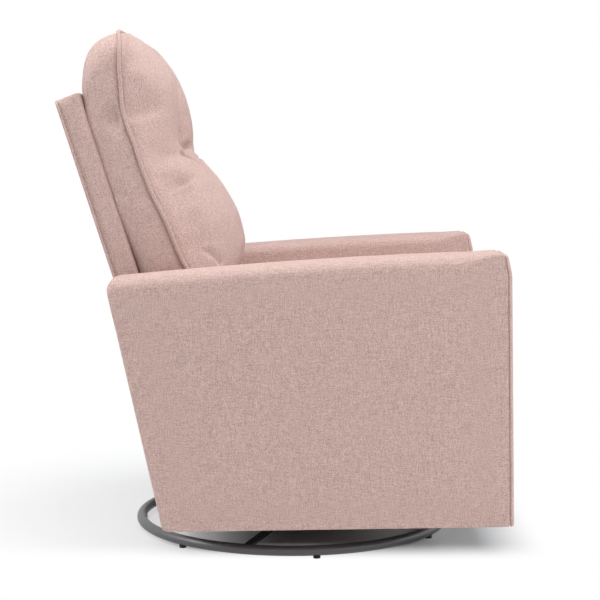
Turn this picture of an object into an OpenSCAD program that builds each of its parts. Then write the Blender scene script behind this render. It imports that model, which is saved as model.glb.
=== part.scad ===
// Swivel glider recliner. Millimetres, +Z up, the chair faces -Y.
// The origin is on the floor, at the middle of the width and of the depth.

/* [Floor base] */
// Radius of the floor ring, to the centre of its tube
ring_r = 315; // [290:1:330]
// Diameter of the ring's tube
ring_tube_d = 20; // [18:0.1:24]
// Place of the swivel axis along the depth
swivel_y = -20; // [-35:1:-5]
// Height of the floor glides under the tube
foot_h = 4.5; // [4:0.1:8]
// Diameter of a floor glide
foot_d = 14; // [12:1:17]
// Number of floor glides
foot_count = 7; // [5:1:9]
// Width of the flat cross bars
bar_w = 16; // [15:1:24]
// Thickness of the flat cross bars
bar_t = 6; // [5:0.5:8]
// Turn of the cross bars from the X axis
bar_turn = -17; // [-20:1:20]

/* [Swivel bearing] */
// Diameter of the hub plates
hub_d = 160; // [150:1:180]
// Thickness of the hub plates
hub_t = 5; // [4:0.5:6]
// Diameter of a bearing ball
ball_d = 8; // [7:0.5:9]
// Number of bearing balls
ball_count = 16; // [12:1:18]
// Radius of the ball circle
ball_ring_r = 58; // [54:1:64]
// Gap between the two hub plates
hub_gap = 5; // [4.5:0.1:5.5]
// Diameter of the king pin
king_d = 12; // [10:0.5:13]

/* [Glider] */
// Distance between the pivots of a hanging link
link_len = 100; // [85:1:110]
// Width of a hanging link
link_w = 28; // [24:1:34]
// Thickness of a hanging link
link_t = 6; // [5:0.5:7]
// Diameter of the glider's pivot pins
glide_pin_d = 12; // [10:0.5:14]
// Distance between the front and the rear pivots
glide_spread = 220; // [200:1:240]
// Height of the lower glide pivots
glide_low_z = 100; // [96:1:108]
// Height and width of the steel bars of the glider frame
rail_h = 20; // [18:1:24]
// Width of the glider's side rails
rail_w = 16; // [14:1:20]
// Thickness of the uprights
upright_t = 8; // [6:0.5:10]
// Width of the uprights
upright_w = 34; // [30:1:40]

/* [Side plates] */
// Thickness of the steel side plates
plate_t = 4; // [3:0.5:5]
// Width of the cleats between the plates and the arms
cleat_t = 21.5; // [18:0.5:24]

/* [Arms] */
// Width between the inner faces of the arms
inner_w = 543; // [523:1:563]
// Width of one arm
arm_w = 127.5; // [115:0.5:140]
// Roundness of the arm's top edges
arm_round = 16; // [10:1:22]
// Wall of the arm's cover with its padding
arm_wall = 12; // [9:1:14]
// Thickness of the boards inside the arms
board_t = 20; // [16:1:22]
// Thickness of the padded front facing
facing_t = 11; // [9:0.5:14]
// Diameter of the welt cords
welt_d = 6; // [5:0.5:7]

/* [Seat] */
// Height of the seat frame's lower edge
frame_z = 340; // [338:1:345]
// Height of the seat frame's wooden rails
frame_h = 45; // [40:1:48]
// Thickness of the seat cushion over the deck
seat_t = 82; // [70:1:84]
// Crown of the seat cushion
seat_crown = 12; // [8:1:14]
// Diameter of the seat spring wire
wire_d = 4; // [3:0.5:5]
// Number of seat springs
spring_count = 5; // [3:1:6]

/* [Back] */
// Lean of the back from upright, in degrees
lean = 17.7; // [15:0.1:19]
// Height of the recline hinge
hinge_z = 351; // [349:1:353]
// Place of the recline hinge along the depth
hinge_y = 238; // [236:1:240]
// Length of the slab above the hinge
slab_h = 552; // [530:1:570]
// Thickness of the slab
slab_t = 49; // [46:1:54]
// Gap on each side between the slab and the arm
slab_gap = 9.5; // [7:0.5:16]
// Distance from the slab's side to the back cushion's side
cushion_in = 4; // [2:0.5:10]
// Wall of the slab's cover with its padding
slab_wall = 6; // [5:0.5:8]
// Thickness of the back cushion
cushion_t = 202; // [180:1:210]
// Height of the back cushion's top above the hinge, along the slab
cushion_top = 657; // [640:1:675]
// Height of the back cushion's bottom above the hinge, along the slab
cushion_low = 104; // [103:1:110]

/* [Footrest] */
// Distance between the end pivots of a scissor bar
scissor_len = 190; // [180:1:196]
// Angle of the folded bars from upright
fold_angle = 10; // [9:0.5:11]
// Height of the fixed scissor pivot
scissor_z = 320; // [318:1:322]
// Width of the scissor bars
flat_w = 20; // [18:1:22]
// Thickness of the scissor bars
flat_t = 5; // [4:0.5:5.5]
// Diameter of the scissor's rivets
rivet_d = 10; // [8:0.5:11]
// Diameter of the drive tube
drive_d = 22; // [20:1:24]
// Height of the footrest board
footboard_h = 212; // [190:1:220]
// Thickness of the footrest board
footboard_t = 12; // [10:1:14]
// Thickness of the footrest's padding
footpad_t = 28; // [20:1:30]

/* [Release lever] */
// Length of the finger cup
cup_l = 112; // [104:1:130]
// Height of the finger cup
cup_h = 54; // [52:1:60]
// Depth of the finger cup
cup_deep = 26; // [24:1:30]
// Height of the cup's lower edge
cup_z = 484; // [482:1:486]

/* [Hidden] */
$fn = 48;

// Clearances and overruns shared by every fit
run_gap = 0.05;
seat_gap = 0.3;
cut = 2;
head_t = 2.5;
head_r = 8;
mid_share = 0.5;

fabric = [0.80, 0.66, 0.62];
fabric_dark = [0.72, 0.58, 0.54];
steel_dark = [0.22, 0.22, 0.24];
steel = [0.62, 0.63, 0.65];
timber = [0.80, 0.66, 0.46];
black = [0.08, 0.08, 0.09];

// Heights of the floor base, from the floor up
tube_r = ring_tube_d / 2;
ring_z = foot_h + tube_r;
bar_z = ring_z - bar_t / 2;
hub_z = bar_z + bar_t;
ball_z = hub_z + hub_t + hub_gap / 2;
upper_hub_z = hub_z + hub_t + hub_gap;
rail_z = upper_hub_z + hub_t;

// Places across the width, from the arms inwards
arm_in = inner_w / 2;
arm_out = arm_in + arm_w;
plate_out = arm_in - cleat_t;
plate_in = plate_out - plate_t;
spacer_t = 7;
leaf_gap = 1;
a_out = plate_in - spacer_t;
a_in = a_out - flat_t;
b_out = a_in - leaf_gap;
b_in = b_out - flat_t;
bracket_out = b_in - head_t - leaf_gap / 2;
bracket_in = bracket_out - flat_t;
glide_spacer_t = 24;
glide_spacer_r = 9.6;
tube_wall = 2;
washer_t = 4;
link_out = plate_in - glide_spacer_t;
link_in = link_out - link_t;
upright_out = link_in - washer_t;
upright_in = upright_out - upright_t;

glide_top_z = glide_low_z + link_len;
glide_front_y = swivel_y - glide_spread / 2;
glide_rear_y = swivel_y + glide_spread / 2;

// Basic shapes
module pair() {
    children();
    mirror([1, 0, 0]) children();
}

// A flat shape drawn in depth and height, carried across the width from x0 to x1
module side_prism(x0, x1) {
    translate([x0, 0, 0]) rotate([90, 0, 90]) linear_extrude(x1 - x0) children();
}

// A round pin along X
module x_pin(x0, x1, y, z, r) {
    translate([x0, y, z]) rotate([0, 90, 0]) cylinder(h = x1 - x0, r = r);
}

// A flat bar outline from one pivot to the other, its round ends a little wider than its web
bar_waist = 0.1;
module bar_outline(p, q, w) {
    run = q - p;
    translate(p) circle(d = w);
    translate(q) circle(d = w);
    translate(p) rotate(atan2(run.y, run.x)) translate([0, bar_waist - w / 2])
        square([norm(run), w - 2 * bar_waist]);
}

function line_points(p, q, k) = [for (i = [0:k - 1]) p + (q - p) * i / k];
function arc_points(c, r, a0, k) = [for (i = [0:k - 1]) let (a = a0 + 90 * i / k) c + r * [cos(a), sin(a)]];

// A rounded rectangle as one loop of points: half sizes a and b, corner radius r,
// ka and kb points along its sides and kc on each corner
function round_loop(a, b, r, ka, kb, kc) = concat(
    line_points([a, r - b], [a, b - r], kb), arc_points([a - r, b - r], r, 0, kc),
    line_points([a - r, b], [r - a, b], ka), arc_points([r - a, b - r], r, 90, kc),
    line_points([-a, b - r], [-a, r - b], kb), arc_points([r - a, r - b], r, 180, kc),
    line_points([r - a, -b], [a - r, -b], ka), arc_points([a - r, r - b], r, 270, kc));

// Closed skin through rings of equal length, capped by a point at each end
module ring_skin(rings, first, last) {
    n = len(rings[0]);
    m = len(rings);
    points = concat([for (ring = rings) each ring], [first, last]);
    low_cap = [for (i = [0:n - 1]) [n * m, i, (i + 1) % n]];
    high_cap = [for (i = [0:n - 1]) [n * m + 1, n * (m - 1) + (i + 1) % n, n * (m - 1) + i]];
    walls = [for (j = [0:m - 2]) for (i = [0:n - 1]) let (k = (i + 1) % n)
        each [[n * j + i, n * (j + 1) + k, n * j + k], [n * j + i, n * (j + 1) + i, n * (j + 1) + k]]];
    polyhedron(points, concat(low_cap, walls, high_cap));
}

// Floor base
module ring_solid(r) {
    translate([0, swivel_y, ring_z]) rotate_extrude($fn = 96) translate([ring_r, 0]) circle(r = r);
}

module base_ring() {
    color(steel_dark) ring_solid(tube_r);
}

module bar_piece(from, to) {
    translate([0, swivel_y, bar_z]) rotate(bar_turn) translate([from, -bar_w / 2, 0])
        cube([to - from, bar_w, bar_t]);
}

module cross_bar_long() {
    color(steel_dark) difference() {
        bar_piece(-ring_r, ring_r);
        ring_solid(tube_r);
        king_hole(king_d / 2);
    }
}

module cross_bar_halves() {
    color(steel_dark) difference() {
        translate([0, swivel_y, 0]) rotate(90) translate([0, -swivel_y, 0]) bar_piece(-ring_r, ring_r);
        ring_solid(tube_r);
        bar_piece(-ring_r, ring_r);
    }
}

foot_turn = 86;
module floor_glides() {
    color(black) for (i = [0:foot_count - 1])
        translate([0, swivel_y, 0]) rotate(foot_turn + i * 360 / foot_count) difference() {
            translate([ring_r, 0, 0]) cylinder(h = ring_z - tube_r / 2, d = foot_d);
            translate([0, -swivel_y, 0]) ring_solid(tube_r);
        }
}

// Swivel bearing
module king_hole(r) {
    translate([0, swivel_y, 0]) cylinder(h = rail_z + rail_h, r = r);
}

module ball_groove() {
    translate([0, swivel_y, ball_z]) rotate_extrude() translate([ball_ring_r, 0])
        circle(r = ball_d / 2 + run_gap);
}

module lower_hub_plate() {
    color(steel) difference() {
        translate([0, swivel_y, hub_z]) cylinder(h = hub_t, d = hub_d);
        ball_groove();
        king_hole(king_d / 2);
    }
}

module king_pin() {
    color(steel) translate([0, swivel_y, bar_z - head_t]) {
        cylinder(h = head_t, r = king_d / 2 + head_t);
        cylinder(h = rail_z + rail_h - bar_z + head_t, r = king_d / 2);
    }
}

module king_nut() {
    color(steel) difference() {
        translate([0, swivel_y, rail_z + seat_gap])
            cylinder(h = rail_h - 2 * seat_gap, r = king_d, $fn = 6);
        king_hole(king_d / 2);
    }
}

cage_t = 2;
module ball_cage() {
    color("goldenrod") difference() {
        translate([0, swivel_y, ball_z - cage_t / 2]) difference() {
            cylinder(h = cage_t, r = ball_ring_r + ball_d);
            translate([0, 0, -cut]) cylinder(h = cage_t + 2 * cut, r = ball_ring_r - ball_d);
        }
        for (i = [0:ball_count - 1]) translate([0, swivel_y, ball_z - cage_t]) rotate(i * 360 / ball_count)
            translate([ball_ring_r, 0, 0]) cylinder(h = 2 * cage_t, r = ball_d / 2 + run_gap);
    }
}

module bearing_balls() {
    color("silver") for (i = [0:ball_count - 1])
        translate([0, swivel_y, ball_z]) rotate(i * 360 / ball_count)
            translate([ball_ring_r, 0, 0]) sphere(d = ball_d, $fn = 32);
}

member_y = 65;
bolt_x = 40;
bolt_y = 61;
module frame_bolt_places() {
    for (x = [-1, 1]) for (y = [-1, 1]) translate([x * bolt_x, swivel_y + y * bolt_y, 0]) children();
}

module upper_hub_plate() {
    color(steel) difference() {
        translate([0, swivel_y, upper_hub_z]) cylinder(h = hub_t, d = hub_d);
        ball_groove();
        king_hole(king_d / 2 + run_gap);
        frame_bolt_places() translate([0, 0, upper_hub_z - cut]) cylinder(h = hub_t + 2 * cut, r = bolt_r);
    }
}

// Glider frame
bolt_r = 3;
module glider_cross_members() {
    color(steel_dark) difference() {
        for (s = [-1, 1]) translate([-upright_out + rail_w, swivel_y + s * member_y - rail_w / 2, rail_z])
            cube([2 * (upright_out - rail_w), rail_w, rail_h]);
        frame_bolt_places() translate([0, 0, rail_z - cut]) cylinder(h = rail_h + 2 * cut, r = bolt_r);
    }
}

module glider_side_rails() {
    rail_l = glide_spread + upright_w;
    color(steel_dark) pair() translate([upright_out - rail_w, swivel_y - rail_l / 2, rail_z])
        cube([rail_w, rail_l, rail_h]);
}

module glider_uprights() {
    color(steel_dark) pair() for (y = [glide_front_y, glide_rear_y]) difference() {
        side_prism(upright_in, upright_out) {
            translate([y - upright_w / 2, rail_z + rail_h])
                square([upright_w, glide_top_z - rail_z - rail_h]);
            translate([y, glide_top_z]) circle(d = upright_w);
        }
        x_pin(upright_in - cut, upright_out + cut, y, glide_top_z, glide_pin_d / 2);
    }
}

module upper_glide_pins() {
    color(steel) pair() for (y = [glide_front_y, glide_rear_y]) {
        x_pin(upright_in - head_t, link_out + head_t, y, glide_top_z, glide_pin_d / 2);
        x_pin(upright_in - head_t, upright_in, y, glide_top_z, glide_pin_d / 2 + head_t);
        x_pin(link_out + seat_gap, link_out + seat_gap + head_t, y, glide_top_z, glide_pin_d / 2 + head_t);
    }
}

module glide_washers() {
    color("ivory") pair() for (y = [glide_front_y, glide_rear_y]) difference() {
        x_pin(upright_out, link_in - seat_gap, y, glide_top_z, glide_pin_d);
        x_pin(upright_out - cut, link_in + cut, y, glide_top_z, glide_pin_d / 2);
    }
}

module frame_bolts() {
    color(steel) frame_bolt_places() {
        translate([0, 0, upper_hub_z]) cylinder(h = rail_z + rail_h - upper_hub_z + head_t, r = bolt_r);
        translate([0, 0, rail_z + rail_h]) cylinder(h = head_t, r = 2 * bolt_r, $fn = 6);
    }
}

module glide_link(y) {
    color(steel_dark) pair() difference() {
        side_prism(link_in, link_out) bar_outline([y, glide_low_z], [y, glide_top_z], link_w);
        x_pin(link_in - cut, link_out + cut, y, glide_top_z, glide_pin_d / 2 + run_gap);
        x_pin(link_in - cut, link_out + cut, y, glide_low_z, glide_pin_d / 2 + run_gap);
    }
}

module front_glide_links() glide_link(glide_front_y);
module rear_glide_links() glide_link(glide_rear_y);

module lower_glide_pins() {
    color(steel) pair() for (y = [glide_front_y, glide_rear_y]) {
        x_pin(link_in - head_t - seat_gap, plate_out + head_t, y, glide_low_z, glide_pin_d / 2);
        x_pin(plate_out, plate_out + head_t, y, glide_low_z, glide_pin_d / 2 + head_t);
    }
}

module glide_spacers() {
    color("ivory") pair() for (y = [glide_front_y, glide_rear_y]) difference() {
        x_pin(link_out + seat_gap, plate_in, y, glide_low_z, glide_spacer_r);
        x_pin(link_out - cut, plate_in + cut, y, glide_low_z, glide_pin_d / 2);
    }
}

// Places of the footrest scissor, in depth and height, at rest
lip_t = 26;
front_y = -427;
pad_front = front_y;
board_in = 26;
board_reach = board_in + footboard_t + footpad_t;
fold_step = scissor_len * sin(fold_angle);
fold_drop = scissor_len * cos(fold_angle);
open_angle = 60;
pivot_y = pad_front + board_reach + 2 * fold_step;
a1 = [pivot_y, scissor_z];
b1 = [pivot_y, scissor_z - fold_drop];
a1_end = a1 + [-fold_step, -fold_drop];
b1_end = b1 + [-fold_step, fold_drop];
b2_end = a1_end + [-fold_step, fold_drop];
cross_1 = (a1 + a1_end) / 2;
cross_2 = (b1_end + (a1_end + [-fold_step, 0])) / 2;
slot_top = scissor_z - scissor_len * cos(open_angle);
slot_gap = 0.5;

// Seat frame and side plates
plate_edge = 18;
rear_edge_y = hinge_y - 12;
seat_rear_y = 200;
module plate_outline() {
    polygon([[pivot_y - plate_edge, b1.y - plate_edge], [pivot_y + plate_edge, b1.y - plate_edge],
        [glide_front_y - plate_edge, glide_low_z - plate_edge],
        [glide_rear_y + plate_edge, glide_low_z - plate_edge],
        [rear_edge_y, frame_z - 3 * plate_edge], [rear_edge_y, frame_z - plate_edge / 2],
        [rear_edge_y, frame_z], [pivot_y - plate_edge, frame_z]]);
    bar_outline([hinge_y - plate_edge, frame_z - plate_edge], [hinge_y, hinge_z], 1.5 * plate_edge);
}

module side_plates() {
    color(steel) pair() {
        difference() {
            side_prism(plate_in, plate_out) plate_outline();
            side_prism(plate_in - cut, plate_out + cut) {
                bar_outline([b1.x, b1.y], [b1.x, slot_top], rivet_d + 2 * slot_gap);
            }
            x_pin(plate_in - cut, plate_out + cut, a1.x, a1.y, rivet_d / 2);
            x_pin(plate_in - cut, plate_out + cut, hinge_y, hinge_z, rivet_d / 2);
            for (y = [glide_front_y, glide_rear_y])
                x_pin(plate_in - cut, plate_out + cut, y, glide_low_z, glide_pin_d / 2);
            for (p = brace_places) x_pin(plate_in - cut, plate_out + cut, p.x, p.y, brace_d / 2);
        }
        translate([plate_out, pivot_y, frame_z - plate_t])
            cube([cleat_t - seat_gap, seat_rear_y - pivot_y, plate_t]);
    }
}

brace_d = 20;
brace_front_in = 75;
brace_rear_in = 55;
brace_z = frame_z - 38;
brace_places = [[pivot_y + brace_front_in, brace_z], [hinge_y - brace_rear_in, brace_z]];
module cross_braces() {
    color(steel_dark) for (p = brace_places) difference() {
        x_pin(-plate_out, plate_out, p.x, p.y, brace_d / 2);
        x_pin(-plate_out - cut, plate_out + cut, p.x, p.y, brace_d / 2 - tube_wall);
    }
}

cleat_h = 38;
cleat_low_z = 160;
cleat_high_z = 270;
cleat_front_y = -240;
cleat_rear_y = 90;
module arm_cleats() {
    color(timber) pair() for (z = [cleat_low_z, cleat_high_z])
        translate([plate_out, cleat_front_y, z]) cube([cleat_t, cleat_rear_y - cleat_front_y, cleat_h]);
}

rail_wide = 40;
side_rail_out = plate_in + rail_wide / 2;
front_rail_y = pad_front + lip_t;
cross_rail_t = 30;
module seat_side_rails() {
    color(timber) pair() translate([side_rail_out - rail_wide, front_rail_y + cross_rail_t, frame_z])
        cube([rail_wide, seat_rear_y - cross_rail_t - front_rail_y - cross_rail_t, frame_h]);
}

module seat_cross_rails() {
    color(timber) for (y = [front_rail_y, seat_rear_y - cross_rail_t])
        translate([-side_rail_out, y, frame_z]) cube([2 * side_rail_out, cross_rail_t, frame_h]);
}

// Zigzag springs: half rings joined by straight runs, cut from one height of wire
deck_z = frame_z + frame_h;
wave_w = 24;
wave_half = 24;
spring_edge = 15;
spring_y0 = front_rail_y + spring_edge;
spring_l = seat_rear_y - front_rail_y - 2 * spring_edge;
wave_count = floor(spring_l / wave_w);
module half_ring(r, w, s) {
    difference() {
        circle(r = r + w / 2);
        circle(r = r - w / 2);
        translate([-2 * r, s > 0 ? -2 * r : 0]) square([4 * r, 2 * r]);
    }
}

module zigzag_spring() {
    step = spring_l / wave_count;
    for (i = [0:wave_count]) translate([-wave_half, i * step - wire_d / 2]) square([2 * wave_half, wire_d]);
    for (i = [0:wave_count - 1]) translate([i % 2 == 0 ? wave_half : -wave_half, (i + mid_share) * step])
        rotate(-90) half_ring(step / 2, wire_d, i % 2 == 0 ? 1 : -1);
}

module seat_springs() {
    pitch = 2 * (side_rail_out - rail_wide) / spring_count;
    color(steel) for (i = [0:spring_count - 1])
        translate([(i - (spring_count - 1) / 2) * pitch, spring_y0, deck_z])
            linear_extrude(wire_d) zigzag_spring();
}

pad_t = 6;
module deck_pad() {
    color("dimgray") translate([-side_rail_out, front_rail_y, deck_z + wire_d])
        cube([2 * side_rail_out, seat_rear_y - front_rail_y, pad_t]);
}

// Seat cushion: a crowned pad whose sides draw in at mid height, with a front border over the rail
cushion_side_gap = 5;
seat_low_z = deck_z + wire_d + pad_t;
seat_half = arm_in - cushion_side_gap;
seat_round = 18;
lip_edge = 6;
seat_pull = 5;
side_step_shares = [[0, 0.5], [0.2, 0], [0.5, 0.8], [0.8, 0.1], [1, 0.6]];
crown_shares = [0.94, 0.84, 0.7, 0.5, 0.25];
seat_mid_y = (front_y + seat_rear_y) / 2;
seat_half_d = (seat_rear_y - front_y) / 2;
function crown_at(p, a, b) = pow(1 - pow(abs(p.x) / a, 3), 0.7) * pow(1 - pow(abs(p.y) / b, 3), 0.7);
function pad_ring(loop, share, z) = [for (p = loop) [p.x * share, p.y * share, z]];

module seat_cushion() {
    loop = round_loop(seat_half, seat_half_d, seat_round, 10, 10, 5);
    sides = [for (s = side_step_shares) let (k = 1 - seat_pull * s[1] / seat_half)
        pad_ring(loop, k, seat_t * s[0])];
    top = [for (k = crown_shares) [for (p = loop) [p.x * k, p.y * k, seat_t + seat_crown
        * crown_at(p * k, seat_half, seat_half_d)]]];
    color(fabric) {
        translate([0, seat_mid_y, seat_low_z])
            ring_skin(concat(sides, top), [0, 0, 0], [0, 0, seat_t + seat_crown]);
        translate([0, 0, frame_z - seat_pull]) seat_lip();
    }
}

module seat_lip() {
    lip_h = seat_low_z - frame_z + seat_pull + seat_t * mid_share;
    side = seat_half - seat_pull / 2;
    r = seat_round;
    difference() {
        linear_extrude(lip_h) difference() {
            union() {
                translate([-side, front_y + r]) square([2 * side, r]);
                translate([r - side, front_y]) square([2 * (side - r), r]);
                for (x = [r - side, side - r]) translate([x, front_y + r]) circle(r = r);
            }
            translate([-arm_in, front_y + lip_t - seat_gap]) square([2 * arm_in, 2 * r]);
        }
        translate([-arm_in, front_y, 0]) rotate([45, 0, 0]) translate([0, -lip_edge, -lip_edge])
            cube([2 * arm_in, 2 * lip_edge, lip_edge]);
    }
}

// Arms: the outline of the side, closed by a rounded-over top
arm_front_low_y = -418.4;
arm_front_high_y = -408.4;
arm_low_z = 84;
arm_rear_low = [220, 73];
arm_rear_high = [317, 513];
arm_top = [[322, 530], [314, 538], [154, 552], [90, 558], [-19, 566.5], [-127, 574], [-236, 580.5],
    [-345, 584]];
arm_front_z = 583;
front_lean = atan2(arm_front_high_y - arm_front_low_y, arm_front_z - arm_low_z);
arm_hollow = arm_wall + arm_round / 4;
function arm_points(drop, inset) = concat(
    [[arm_front_low_y + inset, arm_low_z + inset], [arm_rear_low.x - inset, arm_rear_low.y + inset],
    [arm_rear_high.x - inset, arm_rear_high.y - drop - inset]],
    [for (p = arm_top) [p.x > arm_rear_low.x ? p.x - inset : p.x, p.y - drop - inset]],
    [[arm_front_high_y + inset, arm_front_z - drop - inset]]);

module arm_cover() {
    difference() {
        hull() for (a = [0:30:90]) let (roll = arm_round * (1 - cos(a)))
            side_prism(arm_in + roll, arm_out - roll) polygon(arm_points(arm_round * (1 - sin(a)), 0));
        side_prism(arm_in + arm_wall, arm_out - arm_wall) polygon(arm_points(0, arm_hollow));
    }
}

module arm_frame() {
    color(timber) side_prism(arm_in + arm_wall, arm_out - arm_wall) difference() {
        polygon(arm_points(0, arm_hollow));
        polygon(arm_points(0, arm_hollow + board_t));
    }
}

module arm_right_frame() {
    difference() {
        mirror([1, 0, 0]) arm_frame();
        cup_block(seat_gap);
    }
}

module arm_left_frame() arm_frame();
module arm_right_cover() {
    color(fabric) difference() {
        mirror([1, 0, 0]) arm_cover();
        cup_block(seat_gap);
    }
}

module arm_left_cover() {
    color(fabric) arm_cover();
}

// Front facing: a padded panel on the leaning front plane, with rounded top corners and a welt round it
welt_inset = 4;
facing_h = 496;
facing_corner = 14;
facing_step = 4;
module facing_outline(inset) {
    w = arm_w - 2 * inset;
    r = facing_corner;
    translate([arm_in + inset, inset]) square([w, facing_h - r - 2 * inset]);
    translate([arm_in + inset + r, inset]) square([w - 2 * r, facing_h - 2 * inset]);
    for (x = [arm_in + inset + r, arm_out - inset - r]) translate([x, facing_h - r - inset]) circle(r = r);
}

module on_front() {
    translate([0, arm_front_low_y, arm_low_z]) rotate([90 - front_lean, 0, 0]) children();
}

module arm_front_facings() {
    inset = welt_inset + welt_d / 2;
    color(fabric) pair() on_front() {
        linear_extrude(facing_t * mid_share) facing_outline(inset);
        translate([0, 0, facing_t * mid_share]) linear_extrude(facing_t * mid_share)
            facing_outline(inset + facing_step);
    }
}

module arm_front_welts() {
    r = welt_d / 2;
    bend = facing_corner + r;
    x0 = arm_in + welt_inset;
    x1 = arm_out - welt_inset;
    top = facing_h - welt_inset;
    color(fabric_dark) pair() on_front() translate([0, 0, r]) {
        for (x = [x0, x1])
            translate([x, welt_inset, 0]) rotate([-90, 0, 0]) cylinder(h = top - bend - welt_inset, r = r);
        translate([x0 + bend, top, 0]) rotate([0, 90, 0]) cylinder(h = x1 - x0 - 2 * bend, r = r);
        for (a = [0, 90]) translate([a == 0 ? x1 - bend : x0 + bend, top - bend, 0])
            rotate(a) rotate_extrude(angle = 90) translate([bend, 0]) circle(r = r);
    }
}

// Rear panel and its rails between the arms, on the slope of the arms' rear edges
rear_inset = 3;
panel_t = 12;
rear_rail_t = 14;
rear_rail_h = 38;
rear_top_z = 335;
function rear_y(z) = arm_rear_low.x + (z - arm_rear_low.y) * (arm_rear_high.x - arm_rear_low.x)
    / (arm_rear_high.y - arm_rear_low.y) - rear_inset;
function rear_band(z0, z1, n0, n1) = [[rear_y(z0) - n0, z0], [rear_y(z1) - n0, z1], [rear_y(z1) - n1, z1],
    [rear_y(z0) - n1, z0]];

module rear_panel() {
    color(fabric) side_prism(-arm_in + cushion_side_gap / 2, arm_in - cushion_side_gap / 2)
        polygon(rear_band(arm_low_z, rear_top_z, 0, panel_t));
}

module rear_rails() {
    color(timber) side_prism(-arm_in, arm_in) {
        polygon(rear_band(arm_low_z + rear_rail_t, arm_low_z + rear_rail_t + rear_rail_h, panel_t,
            panel_t + rear_rail_t));
        polygon(rear_band(rear_top_z - rear_rail_t - rear_rail_h, rear_top_z - rear_rail_t, panel_t,
            panel_t + rear_rail_t));
    }
}

// Back: drawn upright with the hinge at its origin and its rear face towards +Y, then leant back
module leaning() {
    translate([0, hinge_y, hinge_z]) rotate([-lean, 0, 0]) children();
}

slab_w = inner_w - 2 * slab_gap;
half_slab = slab_t / 2;
back_plate_t = 4;
bracket_gap = 2;
back_bracket_out = plate_in - bracket_gap;
back_bracket_in = back_bracket_out - back_plate_t;
slot_out = plate_out + 2 * bracket_gap;
ear_clear = 20;

module hinge_pins() {
    color(steel) pair() {
        x_pin(back_bracket_in - head_t, plate_out + head_t, hinge_y, hinge_z, rivet_d / 2);
        x_pin(plate_out, plate_out + head_t, hinge_y, hinge_z, head_r);
    }
}

module slab_outline(inset) {
    circle(r = half_slab - inset);
    translate([-half_slab + inset, 0]) square([slab_t - 2 * inset, slab_h - inset]);
}

module back_shell() {
    color(fabric) leaning() difference() {
        side_prism(-slab_w / 2, slab_w / 2) slab_outline(0);
        side_prism(-back_bracket_out - seat_gap, back_bracket_out + seat_gap) slab_outline(slab_wall);
        pair() translate([back_bracket_out, -slab_t, -slab_t])
            cube([slot_out - back_bracket_out, 2 * slab_t, slab_t + ear_clear]);
    }
}

post_w = 40;
post_low = 70;
frame_deep = slab_t - 2 * slab_wall;
module back_posts() {
    color(timber) leaning() pair() translate([back_bracket_in - post_w, -frame_deep / 2, post_low])
        cube([post_w, frame_deep, slab_h - slab_wall - post_low]);
}

back_rail_h = 60;
mid_rail_z = 290;
back_rail_places = [post_low, mid_rail_z, slab_h - slab_wall - back_rail_h];
module back_rails() {
    half = back_bracket_in - post_w;
    color(timber) leaning() for (z = back_rail_places) translate([-half, -frame_deep / 2, z])
        cube([2 * half, frame_deep, back_rail_h]);
}

back_bracket_w = 24;
back_bracket_l = 200;
module back_brackets() {
    color(steel) leaning() pair() difference() {
        side_prism(back_bracket_in, back_bracket_out)
            bar_outline([0, 0], [0, back_bracket_l], back_bracket_w);
        x_pin(back_bracket_in - cut, back_bracket_out + cut, 0, 0, rivet_d / 2 + run_gap);
    }
}

// Back cushion: thickness down the middle and at the seam, from its bottom to its top, as shares of
// its height and of its thickness
front_shares = [[0, 0.60], [0.03, 0.857], [0.071, 0.941], [0.137, 0.975], [0.204, 0.995], [0.257, 1],
    [0.323, 0.96], [0.39, 0.916], [0.461, 0.832], [0.5, 0.792], [0.544, 0.792], [0.59, 0.832],
    [0.642, 0.847], [0.706, 0.871], [0.745, 0.876], [0.793, 0.876], [0.837, 0.832], [0.887, 0.748],
    [0.934, 0.634], [0.975, 0.545], [1, 0.48]];
seam_shares = [[0, 0.60], [0.03, 0.54], [0.138, 0.45], [0.16, 0.436], [0.216, 0.416], [0.317, 0.396],
    [0.411, 0.356], [0.5, 0.347], [0.569, 0.351], [0.633, 0.351], [0.704, 0.337], [0.761, 0.361],
    [0.824, 0.411], [0.904, 0.475], [0.96, 0.535], [1, 0.48]];
cushion_w = slab_w - 2 * cushion_in;
cushion_arch = 20;
rear_top_drop = 108;
rear_low_rise = 36;
cushion_h = cushion_top - cushion_low;
cushion_mid = (cushion_top + cushion_low) / 2;
cushion_corner = 42;
rear_draw = 3;
rear_from = 40;
bulge = 5;
cushion_half = cushion_w / 2;

// Seam loop in width and height: the top edge arches up in the middle
function seam_loop() = [for (p = round_loop(cushion_half, cushion_h / 2, cushion_corner, 12, 12, 4))
    [p.x, p.y - (p.y > 0 ? 2 * p.y / cushion_h * cushion_arch * pow(p.x / cushion_half, 2) : 0)]];
function height_share(y) = y / cushion_h + mid_share;
function front_depth(p) =
    let (h = height_share(p.y), s = lookup(h, seam_shares), f = lookup(h, front_shares))
    cushion_t * (s + (f - s) * pow(1 - pow(min(1, abs(p.x) / cushion_half), 2.6), 0.6)) - channel(p.x, h);
function seam_depth(p) = cushion_t * lookup(height_share(p.y), seam_shares);

// A channel down the middle parts the head roll: its depth over the height, as shares of its deepest
channel_deep = 34;
channel_wide = 50;
channel_shares = [[0.51, 0], [0.545, 0.7], [0.59, 1], [0.72, 0.75], [0.86, 0.4], [0.97, 0]];
function channel(x, h) = channel_deep * lookup(h, channel_shares) * exp(-pow(x / channel_wide, 2));

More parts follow.
